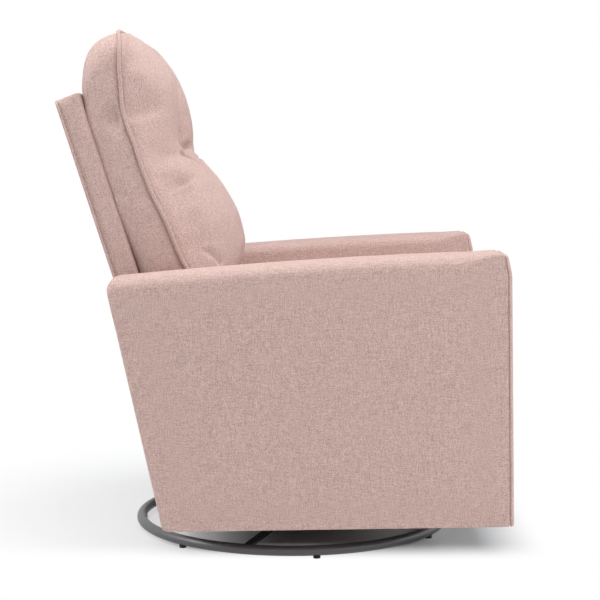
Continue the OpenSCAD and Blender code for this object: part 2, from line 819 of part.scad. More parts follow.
// Rear edge of the boxing, squeezed below the slab's top and higher than the seam at the bottom
function squeeze() = (cushion_h / 2 - rear_top_drop - rear_from) / (cushion_h / 2 - rear_from);
function rear_height(y) = y > rear_from ? rear_from + (y - rear_from) * squeeze()
    : y < 0 ? y + rear_low_rise * pow(-2 * y / cushion_h, 6) : y;
function rear_edge(p) = [p.x * (1 - rear_draw / cushion_half), rear_height(p.y)];
function swell(p, k) = let (out = [p.x / cushion_half, 2 * p.y / cushion_h])
    [for (o = out) pow(o, 7) * bulge * sin(180 * k)];

// The boxing rolls over like a quarter ellipse, and lies flatter along the cushion's bottom
function boxing_out(k) = pow(1 - cos(90 * k), 0.8);
function boxing_rise(k, y) = y > 0 ? sin(90 * k) : pow(boxing_out(k), 1.2);
boxing_shares = [0, 0.3, 0.55, 0.8];
panel_shares = [1, 0.95, 0.88, 0.8, 0.7, 0.6, 0.5, 0.38, 0.25, 0.12];
function cushion_point(p, depth) = [p.x, -depth, p.y];
module back_cushion_solid() {
    loop = seam_loop();
    boxing = [for (k = boxing_shares) [for (p = loop) let (q = rear_edge(p), w = swell(p, k))
        cushion_point(q + (p - q) * boxing_rise(k, p.y) + w, seam_depth(p) * boxing_out(k))]];
    panel = [for (k = panel_shares)
        [for (p = loop) cushion_point(p * k, k < 1 ? front_depth(p * k) : seam_depth(p))]];
    ring_skin(concat(boxing, panel), [0, 0, 0], [0, -front_depth([0, 0]), 0]);
}

module on_slab() {
    leaning() translate([0, -half_slab - seat_gap, cushion_mid]) children();
}

module back_cushion() {
    color(fabric) on_slab() back_cushion_solid();
}

// A round cord swept along a closed loop of points
module swept_cord(path, r, sides) {
    n = len(path);
    rings = [for (i = [0:n - 1]) let (
        t = path[(i + 1) % n] - path[(i + n - 1) % n],
        u = t / norm(t),
        v = cross([0, 1, 0], u) / norm(cross([0, 1, 0], u)),
        w = cross(u, v))
        [for (k = [0:sides - 1]) path[i] + r * (cos(360 * k / sides) * v + sin(360 * k / sides) * w)]];
    faces = [for (i = [0:n - 1]) for (k = [0:sides - 1]) let (j = (i + 1) % n, m = (k + 1) % sides)
        each [[i * sides + k, j * sides + m, i * sides + m], [i * sides + k, j * sides + k, j * sides + m]]];
    polyhedron([for (ring = rings) each ring], faces);
}

module back_cushion_welt() {
    color(fabric_dark) on_slab()
        swept_cord([for (p = seam_loop()) cushion_point(p, seam_depth(p))], welt_d / 2, 8);
}

// Footrest scissor: outer bars and inner bars lie in two planes on each side
module scissor_bar(x0, x1, p, q, tight, loose) {
    difference() {
        side_prism(x0, x1) bar_outline(p, q, flat_w);
        for (c = tight) x_pin(x0 - cut, x1 + cut, c.x, c.y, rivet_d / 2);
        for (c = loose) x_pin(x0 - cut, x1 + cut, c.x, c.y, rivet_d / 2 + run_gap);
    }
}

module rivet(x0, x1, p) {
    x_pin(x0 - head_t, x1 + head_t, p.x, p.y, rivet_d / 2);
    x_pin(x0 - head_t, x0, p.x, p.y, head_r);
    x_pin(x1, x1 + head_t, p.x, p.y, head_r);
}

module lower_outer_bars() {
    color(steel_dark) pair() {
        scissor_bar(a_in, a_out, a1, a1_end, [], [a1]);
        rivet(b_in, a_out, cross_1);
        rivet(b_in, a_out, a1_end);
        side_prism(b_out, a_in) for (p = [cross_1, a1_end]) translate(p) circle(r = head_r);
    }
}

module drive_tube() {
    color(steel_dark) difference() {
        x_pin(-a_in, a_in, a1.x, a1.y, drive_d / 2);
        x_pin(-a_in - cut, a_in + cut, a1.x, a1.y, drive_d / 2 - tube_wall);
    }
}

module scissor_pivot_pins() {
    color(steel) pair() {
        x_pin(a_in, plate_out + head_t, a1.x, a1.y, rivet_d / 2);
        x_pin(plate_out, plate_out + head_t, a1.x, a1.y, head_r);
        x_pin(a_out + seat_gap, plate_in, a1.x, a1.y, head_r);
    }
}

module lower_inner_bars() {
    color(steel_dark) pair() {
        scissor_bar(b_in, b_out, b1, b1_end, [], [cross_1]);
        x_pin(b_in, plate_out + 2 * head_t, b1.x, b1.y, rivet_d / 2);
        x_pin(b_in - head_t, a_out + head_t, b1_end.x, b1_end.y, rivet_d / 2);
        for (x = [b_in - head_t, a_out])
            x_pin(x + (x > b_in ? run_gap : 0), x + head_t, b1_end.x, b1_end.y, head_r);
    }
}

module upper_outer_bars() {
    color(steel_dark) pair() {
        scissor_bar(a_in, a_out, b1_end, cross_2, [], [b1_end]);
        rivet(b_in, a_out, cross_2);
    }
}

module upper_inner_bars() {
    open_pivot_r = rivet_d / 2 + 2 * run_gap;
    color(steel_dark) pair() {
        difference() {
            scissor_bar(b_in, b_out, a1_end, b2_end, [], [cross_2]);
            x_pin(b_in - cut, b_out + cut, a1_end.x, a1_end.y, open_pivot_r);
        }
        x_pin(bracket_in - head_t, b_out, b2_end.x, b2_end.y, rivet_d / 2);
        x_pin(bracket_in - head_t, bracket_in - run_gap, b2_end.x, b2_end.y, head_r);
    }
}

board_y = b2_end.x - board_in - footboard_t;
board_drop = 4;
board_top = scissor_z - board_drop;
bracket_l = 150;
module footrest_brackets() {
    color(steel_dark) pair() difference() {
        side_prism(bracket_in, bracket_out) {
            bar_outline(b2_end, b2_end + [-flat_w / 2, 0], flat_w);
            translate([board_y + footboard_t, board_top - bracket_l]) square([flat_w, bracket_l]);
        }
        x_pin(bracket_in - cut, bracket_out + cut, b2_end.x, b2_end.y, rivet_d / 2 + run_gap);
    }
}

footrest_half = arm_in - cushion_side_gap;
module footrest_board() {
    board_half = footrest_half - footpad_t / 2;
    color(timber) translate([-board_half, board_y, board_top - footboard_h])
        cube([2 * board_half, footboard_t, footboard_h]);
}

foot_round = 22;
foot_side_shares = [[0, 0.6], [0.3, 0], [0.7, 0.4]];
foot_crown_shares = [[0.96, 0.9], [0.88, 0.97], [0.6, 1]];
module footrest_cushion() {
    half_h = footboard_h / 2 + cushion_side_gap / 2;
    loop = round_loop(footrest_half, half_h, foot_round, 8, 4, 4);
    sides = [for (s = foot_side_shares) let (pull = seat_pull * s[1]) [for (p = loop)
        [p.x * (1 - pull / footrest_half), -footpad_t * s[0], p.y * (1 - pull / half_h)]]];
    top = [for (s = foot_crown_shares) [for (p = loop) [p.x * s[0], -footpad_t * s[1], p.y * s[0]]]];
    color(fabric) translate([0, board_y, board_top - footboard_h / 2])
        ring_skin(concat(sides, top), [0, 0, 0], [0, -footpad_t, 0]);
}

// Release: a cup let into the inner face of the right arm, with a lever inside
cup_wall = 3;
cup_y = -190;
cup_lip = 3;
module cup_block(gap) {
    translate([-arm_in - cup_deep - gap, cup_y - gap, cup_z - gap])
        cube([cup_deep + cut + gap, cup_l + 2 * gap, cup_h + 2 * gap]);
}

lever_w = 14;
lever_t = 12;
lever_l = 78;
lever_end = 16;
lever_rise = 15;
lever_pin_r = 2.5;
lever_pivot = [cup_y + cup_l - lever_end, cup_z + lever_rise];
lever_r = 8;
lever_x0 = -arm_in - cup_deep / 2 - lever_w / 2;
module release_cup() {
    color(black) difference() {
        union() {
            cup_block(0);
            translate([-arm_in, cup_y - cup_lip * 2, cup_z - cup_lip * 2])
                cube([cup_lip, cup_l + cup_lip * 4, cup_h + cup_lip * 4]);
        }
        translate([-arm_in - cup_deep + cup_wall, cup_y + cup_wall, cup_z + cup_wall])
            cube([cup_deep + 2 * cut, cup_l - 2 * cup_wall, cup_h - 2 * cup_wall]);
        x_pin(-arm_in - cup_deep - cut, -arm_in, lever_pivot.x, lever_pivot.y, lever_pin_r);
    }
}

module release_lever() {
    color("gray") difference() {
        side_prism(lever_x0, lever_x0 + lever_w)
            bar_outline(lever_pivot, lever_pivot + [-lever_l, 0], 2 * lever_r);
        x_pin(lever_x0 - cut, lever_x0 + lever_w + cut, lever_pivot.x, lever_pivot.y, lever_pin_r + run_gap);
    }
}

module release_pin() {
    color(steel)
        x_pin(-arm_in - cup_deep, lever_x0 + lever_w + head_t, lever_pivot.x, lever_pivot.y, lever_pin_r);
}

base_ring();
cross_bar_long();
cross_bar_halves();
floor_glides();
lower_hub_plate();
king_pin();
king_nut();
ball_cage();
bearing_balls();
upper_hub_plate();
glider_cross_members();
glider_side_rails();
glider_uprights();
upper_glide_pins();
frame_bolts();
front_glide_links();
rear_glide_links();
glide_washers();
lower_glide_pins();
glide_spacers();
side_plates();
cross_braces();
arm_cleats();
seat_side_rails();
seat_cross_rails();
seat_springs();
deck_pad();
seat_cushion();
arm_right_frame();
arm_left_frame();
arm_right_cover();
arm_left_cover();
arm_front_facings();
arm_front_welts();
rear_rails();
rear_panel();
hinge_pins();
back_posts();
back_rails();
back_brackets();
back_shell();
back_cushion();
back_cushion_welt();
lower_outer_bars();
drive_tube();
scissor_pivot_pins();
lower_inner_bars();
upper_outer_bars();
upper_inner_bars();
footrest_brackets();
footrest_board();
footrest_cushion();
release_cup();
release_lever();
release_pin();
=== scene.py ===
"""A swivel glider recliner in heathered blush cloth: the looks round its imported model, in metres."""
import math

import bmesh
import bpy
import numpy as np
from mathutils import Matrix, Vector, kdtree
from mathutils.bvhtree import BVHTree


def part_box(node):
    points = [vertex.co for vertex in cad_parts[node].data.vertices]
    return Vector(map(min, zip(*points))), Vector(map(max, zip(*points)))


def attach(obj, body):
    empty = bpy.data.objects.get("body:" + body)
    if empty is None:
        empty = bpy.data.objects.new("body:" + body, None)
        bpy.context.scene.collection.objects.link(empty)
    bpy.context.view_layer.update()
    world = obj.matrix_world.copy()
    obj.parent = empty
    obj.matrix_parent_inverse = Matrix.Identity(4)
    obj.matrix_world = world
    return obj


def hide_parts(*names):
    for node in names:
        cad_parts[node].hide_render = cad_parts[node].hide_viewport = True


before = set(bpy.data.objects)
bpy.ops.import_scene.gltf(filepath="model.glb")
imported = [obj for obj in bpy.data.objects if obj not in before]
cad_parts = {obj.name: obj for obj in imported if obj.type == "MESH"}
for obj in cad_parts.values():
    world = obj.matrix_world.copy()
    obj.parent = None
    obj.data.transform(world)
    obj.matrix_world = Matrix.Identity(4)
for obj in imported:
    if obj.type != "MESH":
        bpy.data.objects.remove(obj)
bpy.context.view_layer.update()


# The set is a white floor that runs into a white surround, as in a furniture catalogue. Soft lamps hang
# over the chair, before it and behind it, and the camera looks square at the chair's right side.
CAMERA_AT = (-3.26358, -0.04255, 0.78346)
CAMERA_DOWN = 0.0976
CAMERA_TURN = 0.0021
LENS_MM = 94.76
SENSOR_MM = 36.0
FLOOR_HALF = 30.0
FLOOR_WHITE = (0.80, 0.80, 0.80, 1)
# The floor's colour as the camera sees it inside the shadow's outline, darker and bluer than its white:
# painted shade
FLOOR_SHADOW_PAINT = (0.82, 0.85, 0.87, 1)
PURE_WHITE = (1, 1, 1, 1)
SURROUND_LIGHT = 0.22
# Where the floor keeps the chair's shadow, inside a painted outline that fades to glowing white: the place,
# the ends of the ramp and the share at each end
SHADE_EDGES = [("x", -0.33, -0.19, 0.0, 1.0), ("y", -0.53, -0.42, 0.0, 1.0), ("y", 0.12, 0.28, 1.0, 0.45),
               ("away", 0.45, 1.0, 1.0, 0.0)]
# Each lamp's name and place, the point that it is turned towards, its width and its power in watts
LAMPS = [("overhead", (-0.7, 0.0, 3.2), (0.0, 0.0, 0.3), 3.2, 103.0),
         ("front_fill", (-0.8, -3.8, 2.2), (0.0, -0.1, 0.6), 2.0, 56.0),
         ("rear_rim", (-0.9, 3.4, 2.2), (0.0, 0.2, 0.7), 1.6, 64.0),
         ("front_near", (-1.5, -2.2, 1.0), (-0.3, -0.1, 0.6), 0.9, 12.0)]


def feed(tree, node, links):
    """Sets a node's inputs, each to a value or to the output that feeds it."""
    for socket, value in links.items():
        if isinstance(value, bpy.types.NodeSocket):
            tree.links.new(value, node.inputs[socket])
        else:
            node.inputs[socket].default_value = value


def add_node(tree, kind, links=None, **settings):
    """A shader node of that kind with these settings and inputs."""
    made = tree.nodes.new(kind)
    for name, value in settings.items():
        setattr(made, name, value)
    feed(tree, made, links or {})
    return made


def math_node(tree, operation, *values):
    """The output of a Math node whose inputs are these numbers or outputs."""
    return add_node(tree, "ShaderNodeMath", dict(enumerate(values)), operation=operation).outputs[0]


def remap(tree, value, low, high, first=0.0, last=1.0, **settings):
    """A number that goes from first to last as value goes from low to high."""
    links = {"Value": value, "From Min": low, "From Max": high, "To Min": first, "To Max": last}
    return add_node(tree, "ShaderNodeMapRange", links, **settings).outputs[0]


def new_piece(name, mesh, material=None):
    """A new object at the origin that shows this mesh in this material."""
    piece = bpy.data.objects.new(name, mesh)
    bpy.context.scene.collection.objects.link(piece)
    if material is not None:
        mesh.materials.append(material)
    return piece


def studio_rays(tree):
    """1 where a camera, mirror or glass ray arrives and 0 where light does."""
    path = add_node(tree, "ShaderNodeLightPath")
    seen = math_node(tree, "MAXIMUM", path.outputs["Is Camera Ray"], path.outputs["Is Glossy Ray"])
    return math_node(tree, "MAXIMUM", seen, path.outputs["Is Transmission Ray"])


camera_data = bpy.data.cameras.new("camera")
camera_data.lens = LENS_MM
camera_data.sensor_width = SENSOR_MM
camera = bpy.data.objects.new("camera", camera_data)
camera.location = CAMERA_AT
camera.rotation_euler = (math.pi / 2 - CAMERA_DOWN, 0, CAMERA_TURN - math.pi / 2)
bpy.context.scene.collection.objects.link(camera)
bpy.context.scene.camera = camera
bpy.context.scene.view_settings.view_transform = "Standard"

surround = bpy.data.worlds.new("surround")
surround.use_nodes = True
tree = surround.node_tree
tree.nodes.clear()
white = add_node(tree, "ShaderNodeBackground", {
    "Color": PURE_WHITE, "Strength": math_node(tree, "MAXIMUM", studio_rays(tree), SURROUND_LIGHT)})
add_node(tree, "ShaderNodeOutputWorld", {"Surface": white.outputs[0]})
bpy.context.scene.world = surround

floor_paint = bpy.data.materials.new("floor_white")
floor_paint.use_nodes = True
tree = floor_paint.node_tree
tree.nodes.clear()
matt = add_node(tree, "ShaderNodeBsdfDiffuse", {"Color": FLOOR_WHITE})
shadow_paint_matt = add_node(tree, "ShaderNodeBsdfDiffuse", {"Color": FLOOR_SHADOW_PAINT})
spot = add_node(tree, "ShaderNodeTexCoord").outputs["Object"]
spot_axes = add_node(tree, "ShaderNodeSeparateXYZ", {0: spot}).outputs
spot_away = add_node(tree, "ShaderNodeVectorMath", {0: spot}, operation="LENGTH").outputs["Value"]
places = {"x": spot_axes[0], "y": spot_axes[1], "away": spot_away}
# The chair's shadow shows only inside a painted outline; outside it the floor glows white, and at the rear
# the shadow is painted lighter
shade = 1.0
for place, low, high, first, last in SHADE_EDGES:
    ramp = remap(tree, places[place], low, high, first, last, interpolation_type="SMOOTHSTEP")
    shade = math_node(tree, "MULTIPLY", shade, ramp)
lit_white = add_node(tree, "ShaderNodeEmission", {"Color": PURE_WHITE})
seen_white = add_node(tree, "ShaderNodeMixShader", {
    0: shade, 1: lit_white.outputs[0], 2: shadow_paint_matt.outputs[0]})
floor_mix = add_node(tree, "ShaderNodeMixShader", {
    0: studio_rays(tree), 1: matt.outputs[0], 2: seen_white.outputs[0]})
add_node(tree, "ShaderNodeOutputMaterial", {"Surface": floor_mix.outputs[0]})
floor_mesh = bpy.data.meshes.new("floor")
corners = FLOOR_HALF * np.array([(-1, -1, 0), (1, -1, 0), (1, 1, 0), (-1, 1, 0)])
floor_mesh.from_pydata(corners.tolist(), [], [(0, 1, 2, 3)])
new_piece("floor", floor_mesh, floor_paint)

for name, place, aim, width, power in LAMPS:
    light = bpy.data.lights.new(name, "AREA")
    light.size = width
    light.energy = power
    lamp = bpy.data.objects.new(name, light)
    lamp.location = place
    lamp.rotation_euler = (Vector(aim) - Vector(place)).to_track_quat("-Z", "Y").to_euler()
    bpy.context.scene.collection.objects.link(lamp)


# The floor base is a ring of steel tube with two flat bars across it, welded and powder coated dark
# grey, on small rubber glides. The coat has a fine orange peel and rubs bare where shoes touch it.
COAT_PEEL = 0.00006
DRAWN_DEEP = 0.00003
HANDLED_SHARE = 0.5


def new_group(name, numbers, results):
    """An empty shader group that takes a vector and these numbers, and gives these results."""
    made = bpy.data.node_groups.new(name, "ShaderNodeTree")
    made.interface.new_socket("Vector", in_out="INPUT", socket_type="NodeSocketVector")
    for socket, value in numbers.items():
        number = made.interface.new_socket(socket, in_out="INPUT", socket_type="NodeSocketFloat")
        number.default_value = value
    for socket in results:
        made.interface.new_socket(socket, in_out="OUTPUT", socket_type="NodeSocketFloat")
    return made, made.nodes.new("NodeGroupInput").outputs, made.nodes.new("NodeGroupOutput")


def noise(tree, vector, scale, detail, roughness, distortion=0.0):
    """The value of a noise texture."""
    return add_node(tree, "ShaderNodeTexNoise", {
        "Vector": vector, "Scale": scale, "Detail": detail, "Roughness": roughness,
        "Distortion": distortion}).outputs[0]


def stretched(tree, vector, scales):
    """The vector with each axis scaled by its own number."""
    return add_node(tree, "ShaderNodeVectorMath", {0: vector, 1: scales}, operation="MULTIPLY").outputs[0]


# Rubbed patches: a broad noise that passes a threshold
rub_wear, given, out = new_group("rub_wear", {"Scale": 20.0, "Amount": 0.3}, ("Mask", "Cloud"))
cloud = noise(rub_wear, given["Vector"], given["Scale"], 6.0, 0.65)
edge = math_node(rub_wear, "SUBTRACT", 1.0, given["Amount"])
patch = remap(rub_wear, cloud, edge, math_node(rub_wear, "ADD", edge, 0.08))
feed(rub_wear, out, {"Mask": patch, "Cloud": cloud})

# Fine skin: small round bumps, as on powder coat, moulded plastic or rubber
fine_skin, given, out = new_group("fine_skin", {"Scale": 900.0}, ("Height",))
feed(fine_skin, out, {"Height": noise(fine_skin, given["Vector"], given["Scale"], 3.0, 0.55)})

# Brushing: long thin streaks along X
brushing, given, out = new_group("brushing", {"Scale": 700.0}, ("Streak",))
drawn = stretched(brushing, given["Vector"], (0.03, 1.0, 1.0))
feed(brushing, out, {"Streak": noise(brushing, drawn, given["Scale"], 4.0, 0.6)})


def use_group(tree, group, vector, **numbers):
    """The results of a shader group in a material, from this vector and these numbers."""
    return add_node(tree, "ShaderNodeGroup", {"Vector": vector, **numbers}, node_tree=group).outputs


def start_material(name, **values):
    """A material with one Principled shader: its tree, the shader and the object's own coordinates."""
    made = bpy.data.materials.new(name)
    made.use_nodes = True
    shader = made.node_tree.nodes["Principled BSDF"]
    for socket, value in values.items():
        shader.inputs[socket.replace("_", " ")].default_value = value
    place = made.node_tree.nodes.new("ShaderNodeTexCoord").outputs["Object"]
    return made, made.node_tree, shader, place


def mix_colours(tree, share, first, second):
    """The output of a colour mix from first to second, each an output or linear RGB, by share."""
    ends = [(*colour, 1) if isinstance(colour, tuple) else colour for colour in (first, second)]
    return add_node(tree, "ShaderNodeMix", {0: share, 6: ends[0], 7: ends[1]}, data_type="RGBA").outputs[2]


def surface(tree, shader, colour, height, distance, roughness=None, strength=1.0):
    """Feeds the shader its colour, its roughness where one is given, and its normal from a height that
    is worth this distance."""
    bump = add_node(tree, "ShaderNodeBump", {"Height": height, "Distance": distance, "Strength": strength})
    feed(tree, shader, {"Base Color": colour, "Normal": bump.outputs[0]})
    if roughness is not None:
        feed(tree, shader, {"Roughness": roughness})


def coated_metal(name, coat, bare, rough, metallic, wear):
    """Metal under a coat that has rubbed through in patches: colours as linear RGB."""
    made, tree, shader, place = start_material(
        name, Metallic=metallic, Coat_Weight=0.12, Coat_Roughness=0.35)
    worn = use_group(tree, rub_wear, place, Scale=38.0, Amount=wear)
    tone = mix_colours(tree, worn["Cloud"], tuple(0.86 * c for c in coat), tuple(1.12 * c for c in coat))
    surface(tree, shader, mix_colours(tree, worn["Mask"], tone, bare),
            use_group(tree, fine_skin, place)["Height"], COAT_PEEL,
            remap(tree, worn["Cloud"], 0, 1, rough - 0.05, rough + 0.08))
    return made


def brushed_metal(name, light, dark, rough):
    """Bare or plated metal with drawn streaks and darker handled patches."""
    made, tree, shader, place = start_material(name, Metallic=1.0)
    streak = use_group(tree, brushing, place)["Streak"]
    worn = use_group(tree, rub_wear, place, Scale=55.0, Amount=0.42)["Mask"]
    tone = mix_colours(tree, streak, dark, light)
    colour = mix_colours(tree, math_node(tree, "MULTIPLY", worn, HANDLED_SHARE), tone, dark)
    surface(tree, shader, colour, streak, DRAWN_DEEP, remap(tree, streak, 0, 1, rough - 0.06, rough + 0.1))
    return made


def moulded(name, colour, scuffed, rough, wear, skin, shine=0.0):
    """Moulded rubber or plastic with scuffed patches. wear is the patches' scale and amount, skin the
    bumps' scale and depth, and shine how far the roughness wanders round its mean."""
    made, tree, shader, place = start_material(name)
    rubbed = use_group(tree, rub_wear, place, Scale=wear[0], Amount=wear[1])
    surface(tree, shader, mix_colours(tree, rubbed["Mask"], colour, scuffed),
            use_group(tree, fine_skin, place, Scale=skin[0])["Height"], skin[1],
            remap(tree, rubbed["Cloud"], 0, 1, rough - 1.5 * shine, rough + shine))
    return made


def dress(material, *names):
    """Gives CAD pieces their material."""
    for name in names:
        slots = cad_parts[name].data.materials
        slots.clear()
        slots.append(material)


ring_coat = coated_metal("ring_powder_coat", (0.115, 0.115, 0.12), (0.33, 0.33, 0.34), 0.42, 0.45, 0.26)
bar_coat = coated_metal("bar_powder_coat", (0.035, 0.035, 0.038), (0.25, 0.25, 0.26), 0.46, 0.4, 0.3)
glide_rubber = moulded("glide_rubber", (0.012, 0.012, 0.013), (0.07, 0.068, 0.065), 0.82, (150.0, 0.45),
                       (1600.0, 0.00015))
dress(ring_coat, "base_ring")
dress(bar_coat, "cross_bar_long", "cross_bar_halves")
dress(glide_rubber, "floor_glides")


# The swivel is two zinc plates with a ring of balls between them in a brass cage, held by a king pin
# and a square-cut nut. The zinc is turned and dulls to grey where it has been handled.
zinc = brushed_metal("zinc_plate", (0.62, 0.63, 0.65), (0.40, 0.41, 0.42), 0.34)
ball_steel = brushed_metal("polished_balls", (0.75, 0.75, 0.76), (0.62, 0.62, 0.63), 0.14)
cage_brass = brushed_metal("cage_brass", (0.72, 0.52, 0.24), (0.46, 0.31, 0.12), 0.32)
dress(zinc, "lower_hub_plate", "upper_hub_plate", "king_pin", "king_nut")
dress(ball_steel, "bearing_balls")
dress(cage_brass, "ball_cage")


# The glider hangs the chair on four flat links from a welded frame of square bar. The bar and links
# are painted satin black, the pins are bright, and nylon washers and spacers keep the links apart.
frame_paint = coated_metal("glider_paint", (0.022, 0.022, 0.024), (0.28, 0.28, 0.29), 0.42, 0.35, 0.33)
bright_pins = brushed_metal("bright_pins", (0.66, 0.66, 0.67), (0.42, 0.42, 0.43), 0.26)
nylon = moulded("nylon", (0.74, 0.71, 0.64), (0.42, 0.38, 0.31), 0.48, (90.0, 0.4), (500.0, 0.00008))
feed(nylon.node_tree, nylon.node_tree.nodes["Principled BSDF"], {
    "Subsurface Weight": 0.12, "Subsurface Radius": (0.002, 0.0016, 0.0012)})
dress(frame_paint, "glider_cross_members", "glider_side_rails", "glider_uprights", "front_glide_links",
      "rear_glide_links")
dress(bright_pins, "upper_glide_pins", "lower_glide_pins", "frame_bolts")
dress(nylon, "glide_washers", "glide_spacers")


# Two pressed steel plates carry the seat, the arms and the footrest mechanism, with two tubes between
# them and hardwood cleats out to the arms. The rails round the seat are the same sawn hardwood.
wood_grain, given, out = new_group("wood_grain", {}, ("Tone", "Height"))
lengthwise = stretched(wood_grain, given["Vector"], (60.0, 5.0, 60.0))
year_rings = noise(wood_grain, lengthwise, 1.0, 5.0, 0.6, 0.8)
pores = noise(wood_grain, lengthwise, 14.0, 2.0, 0.5)
bands = math_node(wood_grain, "PINGPONG", math_node(wood_grain, "MULTIPLY", year_rings, 7.0), 1.0)
bands = math_node(wood_grain, "MULTIPLY", bands, 0.65)
feed(wood_grain, out, {"Tone": math_node(wood_grain, "MULTIPLY_ADD", pores, 0.35, bands), "Height": pores})


def sawn_timber(name, turn):
    """Pale hardwood whose grain runs along Y turned by these angles."""
    made, tree, shader, place = start_material(name)
    turned = add_node(tree, "ShaderNodeMapping", {"Vector": place, "Rotation": turn})
    grain = use_group(tree, wood_grain, turned.outputs[0])
    surface(tree, shader, mix_colours(tree, grain["Tone"], (0.36, 0.22, 0.11), (0.66, 0.47, 0.28)),
            grain["Height"], 0.0002, remap(tree, grain["Tone"], 0, 1, 0.74, 0.6))
    return made


side_steel = brushed_metal("pressed_side_steel", (0.55, 0.55, 0.57), (0.34, 0.34, 0.36), 0.42)
timber_lengthwise = sawn_timber("timber_lengthwise", (0, 0, 0))
timber_across = sawn_timber("timber_across", (0, 0, math.pi / 2))
timber_upright = sawn_timber("timber_upright", (math.pi / 2, 0, 0))
dress(side_steel, "side_plates")
dress(frame_paint, "cross_braces")
dress(timber_lengthwise, "arm_cleats", "seat_side_rails", "arm_right_frame", "arm_left_frame")
dress(timber_across, "seat_cross_rails", "rear_rails", "back_rails", "footrest_board")
dress(timber_upright, "back_posts")


# The deck is a row of zigzag springs of tempered wire that run from front to rear over the seat's rails,
# under a pad of grey needle felt.
spring_wire = coated_metal("spring_wire", (0.05, 0.05, 0.055), (0.3, 0.28, 0.25), 0.3, 0.8, 0.36)
felt, tree, shader, place = start_material("needle_felt", Roughness=0.97)
fibres = noise(tree, place, 420.0, 5.0, 0.7, 1.6)
flecks = use_group(tree, rub_wear, place, Scale=240.0, Amount=0.42)["Mask"]
felt_tone = mix_colours(tree, fibres, (0.06, 0.06, 0.065), (0.2, 0.2, 0.21))
surface(tree, shader, mix_colours(tree, flecks, felt_tone, (0.36, 0.35, 0.37)), fibres, 0.0012)
dress(spring_wire, "seat_springs")
dress(felt, "deck_pad")


# The cloth is a plain weave of two blush yarns, one paler than the other, with slubs along both
# threads that give the fine cross-hatched heather. It covers every padded piece of the chair.
YARN_DARK = (0.420, 0.272, 0.238)
YARN_PALE = (0.750, 0.560, 0.515)
YARN_MEAN = (0.61, 0.452, 0.44)
SLUB_LONG = 60.0
SLUB_WIDE = 620.0
THREAD_PITCH = 0.0023
THREAD_SHARE = 0.12
GRAIN_SCALE = 540.0
WASH_SCALE = 26.0
WASH_SHARE = 0.24
CLOTH_DEEP = 0.0009
BACK_LEAN = math.radians(17.7)
heather, given, out = new_group("heather_weave", {"Slub": SLUB_LONG}, ("Tone", "Drift", "Height"))
split = add_node(heather, "ShaderNodeSeparateXYZ", {0: given["Vector"]}).outputs
slub_sum = thread_sum = 0.0
for axis in range(3):
    stretch = [SLUB_WIDE] * 3
    stretch[axis] = given["Slub"]
    scales = add_node(heather, "ShaderNodeCombineXYZ", dict(enumerate(stretch))).outputs[0]
    slub = noise(heather, stretched(heather, given["Vector"], scales), 1.0, 2.0, 0.55)
    slub_sum = math_node(heather, "ADD", slub_sum, slub)
    phase = math_node(heather, "MULTIPLY", split[axis], 2 * math.pi / THREAD_PITCH)
    thread_sum = math_node(heather, "ADD", thread_sum, math_node(heather, "SINE", phase))
grain = noise(heather, given["Vector"], GRAIN_SCALE, 2.0, 0.6)
yarn_tone = remap(heather, math_node(heather, "MULTIPLY_ADD", slub_sum, 0.4, grain), 0.885, 1.315)
feed(heather, out, {
    "Tone": yarn_tone, "Drift": noise(heather, given["Vector"], WASH_SCALE, 3.0, 0.5),
    "Height": math_node(heather, "MULTIPLY_ADD", thread_sum, THREAD_SHARE, yarn_tone)})


def heather_cloth(name, turn=(0, 0, 0), shade=1.0, slub=SLUB_LONG):
    """The blush cloth with its threads turned by these angles, a little darker where shade is under 1."""
    made, tree, shader, place = start_material(
        name, Specular_IOR_Level=0.22, Sheen_Weight=0.12, Sheen_Roughness=0.5,
        Sheen_Tint=(1.0, 0.93, 0.9, 1))
    turned = add_node(tree, "ShaderNodeMapping", {"Vector": place, "Rotation": turn})
    weave = use_group(tree, heather, turned.outputs[0], Slub=slub)
    dark, pale, mean = (tuple(shade * c for c in colour) for colour in (YARN_DARK, YARN_PALE, YARN_MEAN))
    washed = mix_colours(tree, remap(tree, weave["Drift"], 0, 1, 0.0, WASH_SHARE),
                         mix_colours(tree, weave["Tone"], dark, pale), mean)
    surface(tree, shader, washed, weave["Height"], CLOTH_DEEP,
            remap(tree, weave["Tone"], 0, 1, 0.95, 0.86), 0.8)
    return made


blush = heather_cloth("blush_cloth")
blush_back = heather_cloth("blush_cloth_back", turn=(BACK_LEAN, 0, 0))
blush_welt = heather_cloth("blush_welt", shade=0.97, slub=300.0)


# Each arm is a hardwood box wrapped in foam and cloth. The side and inner panels are flat, the top
# rolls over both edges, and the panels meet the padded front facing in a welted seam.
ARM_FRONT_LOW = (-0.4244, 0.0817)
ARM_FRONT_HIGH = (-0.4144, 0.5868)
ARM_REAR_LOW = (0.220, 0.0715)
ARM_REAR_HIGH = (0.3225, 0.5375)
ARM_TOP_ENDS = (-0.36, 0.29)
ARM_TOP_POINTS = 14
FRONT_POINTS = 5
# Corner radii of the side view: front foot, bowed front, front top, top line, rear top and rear foot
FRONT_FOOT_R = 0.002
FRONT_BOW_R = 0.02
FRONT_TOP_R = 0.0025
TOP_LINE_R = 0.05
REAR_TOP_R = 0.020
REAR_FOOT_R = 0.006
FRONT_BOW = 0.0062
FRONT_BOW_TALL = 0.045
FRONT_SQUARE_SHARE = 0.9
ARM_ROLL = 0.021
ARM_REAR_ROLL = 0.008
ARM_CROWN = 0.0022
ARM_TOP_CROWN = 0.003
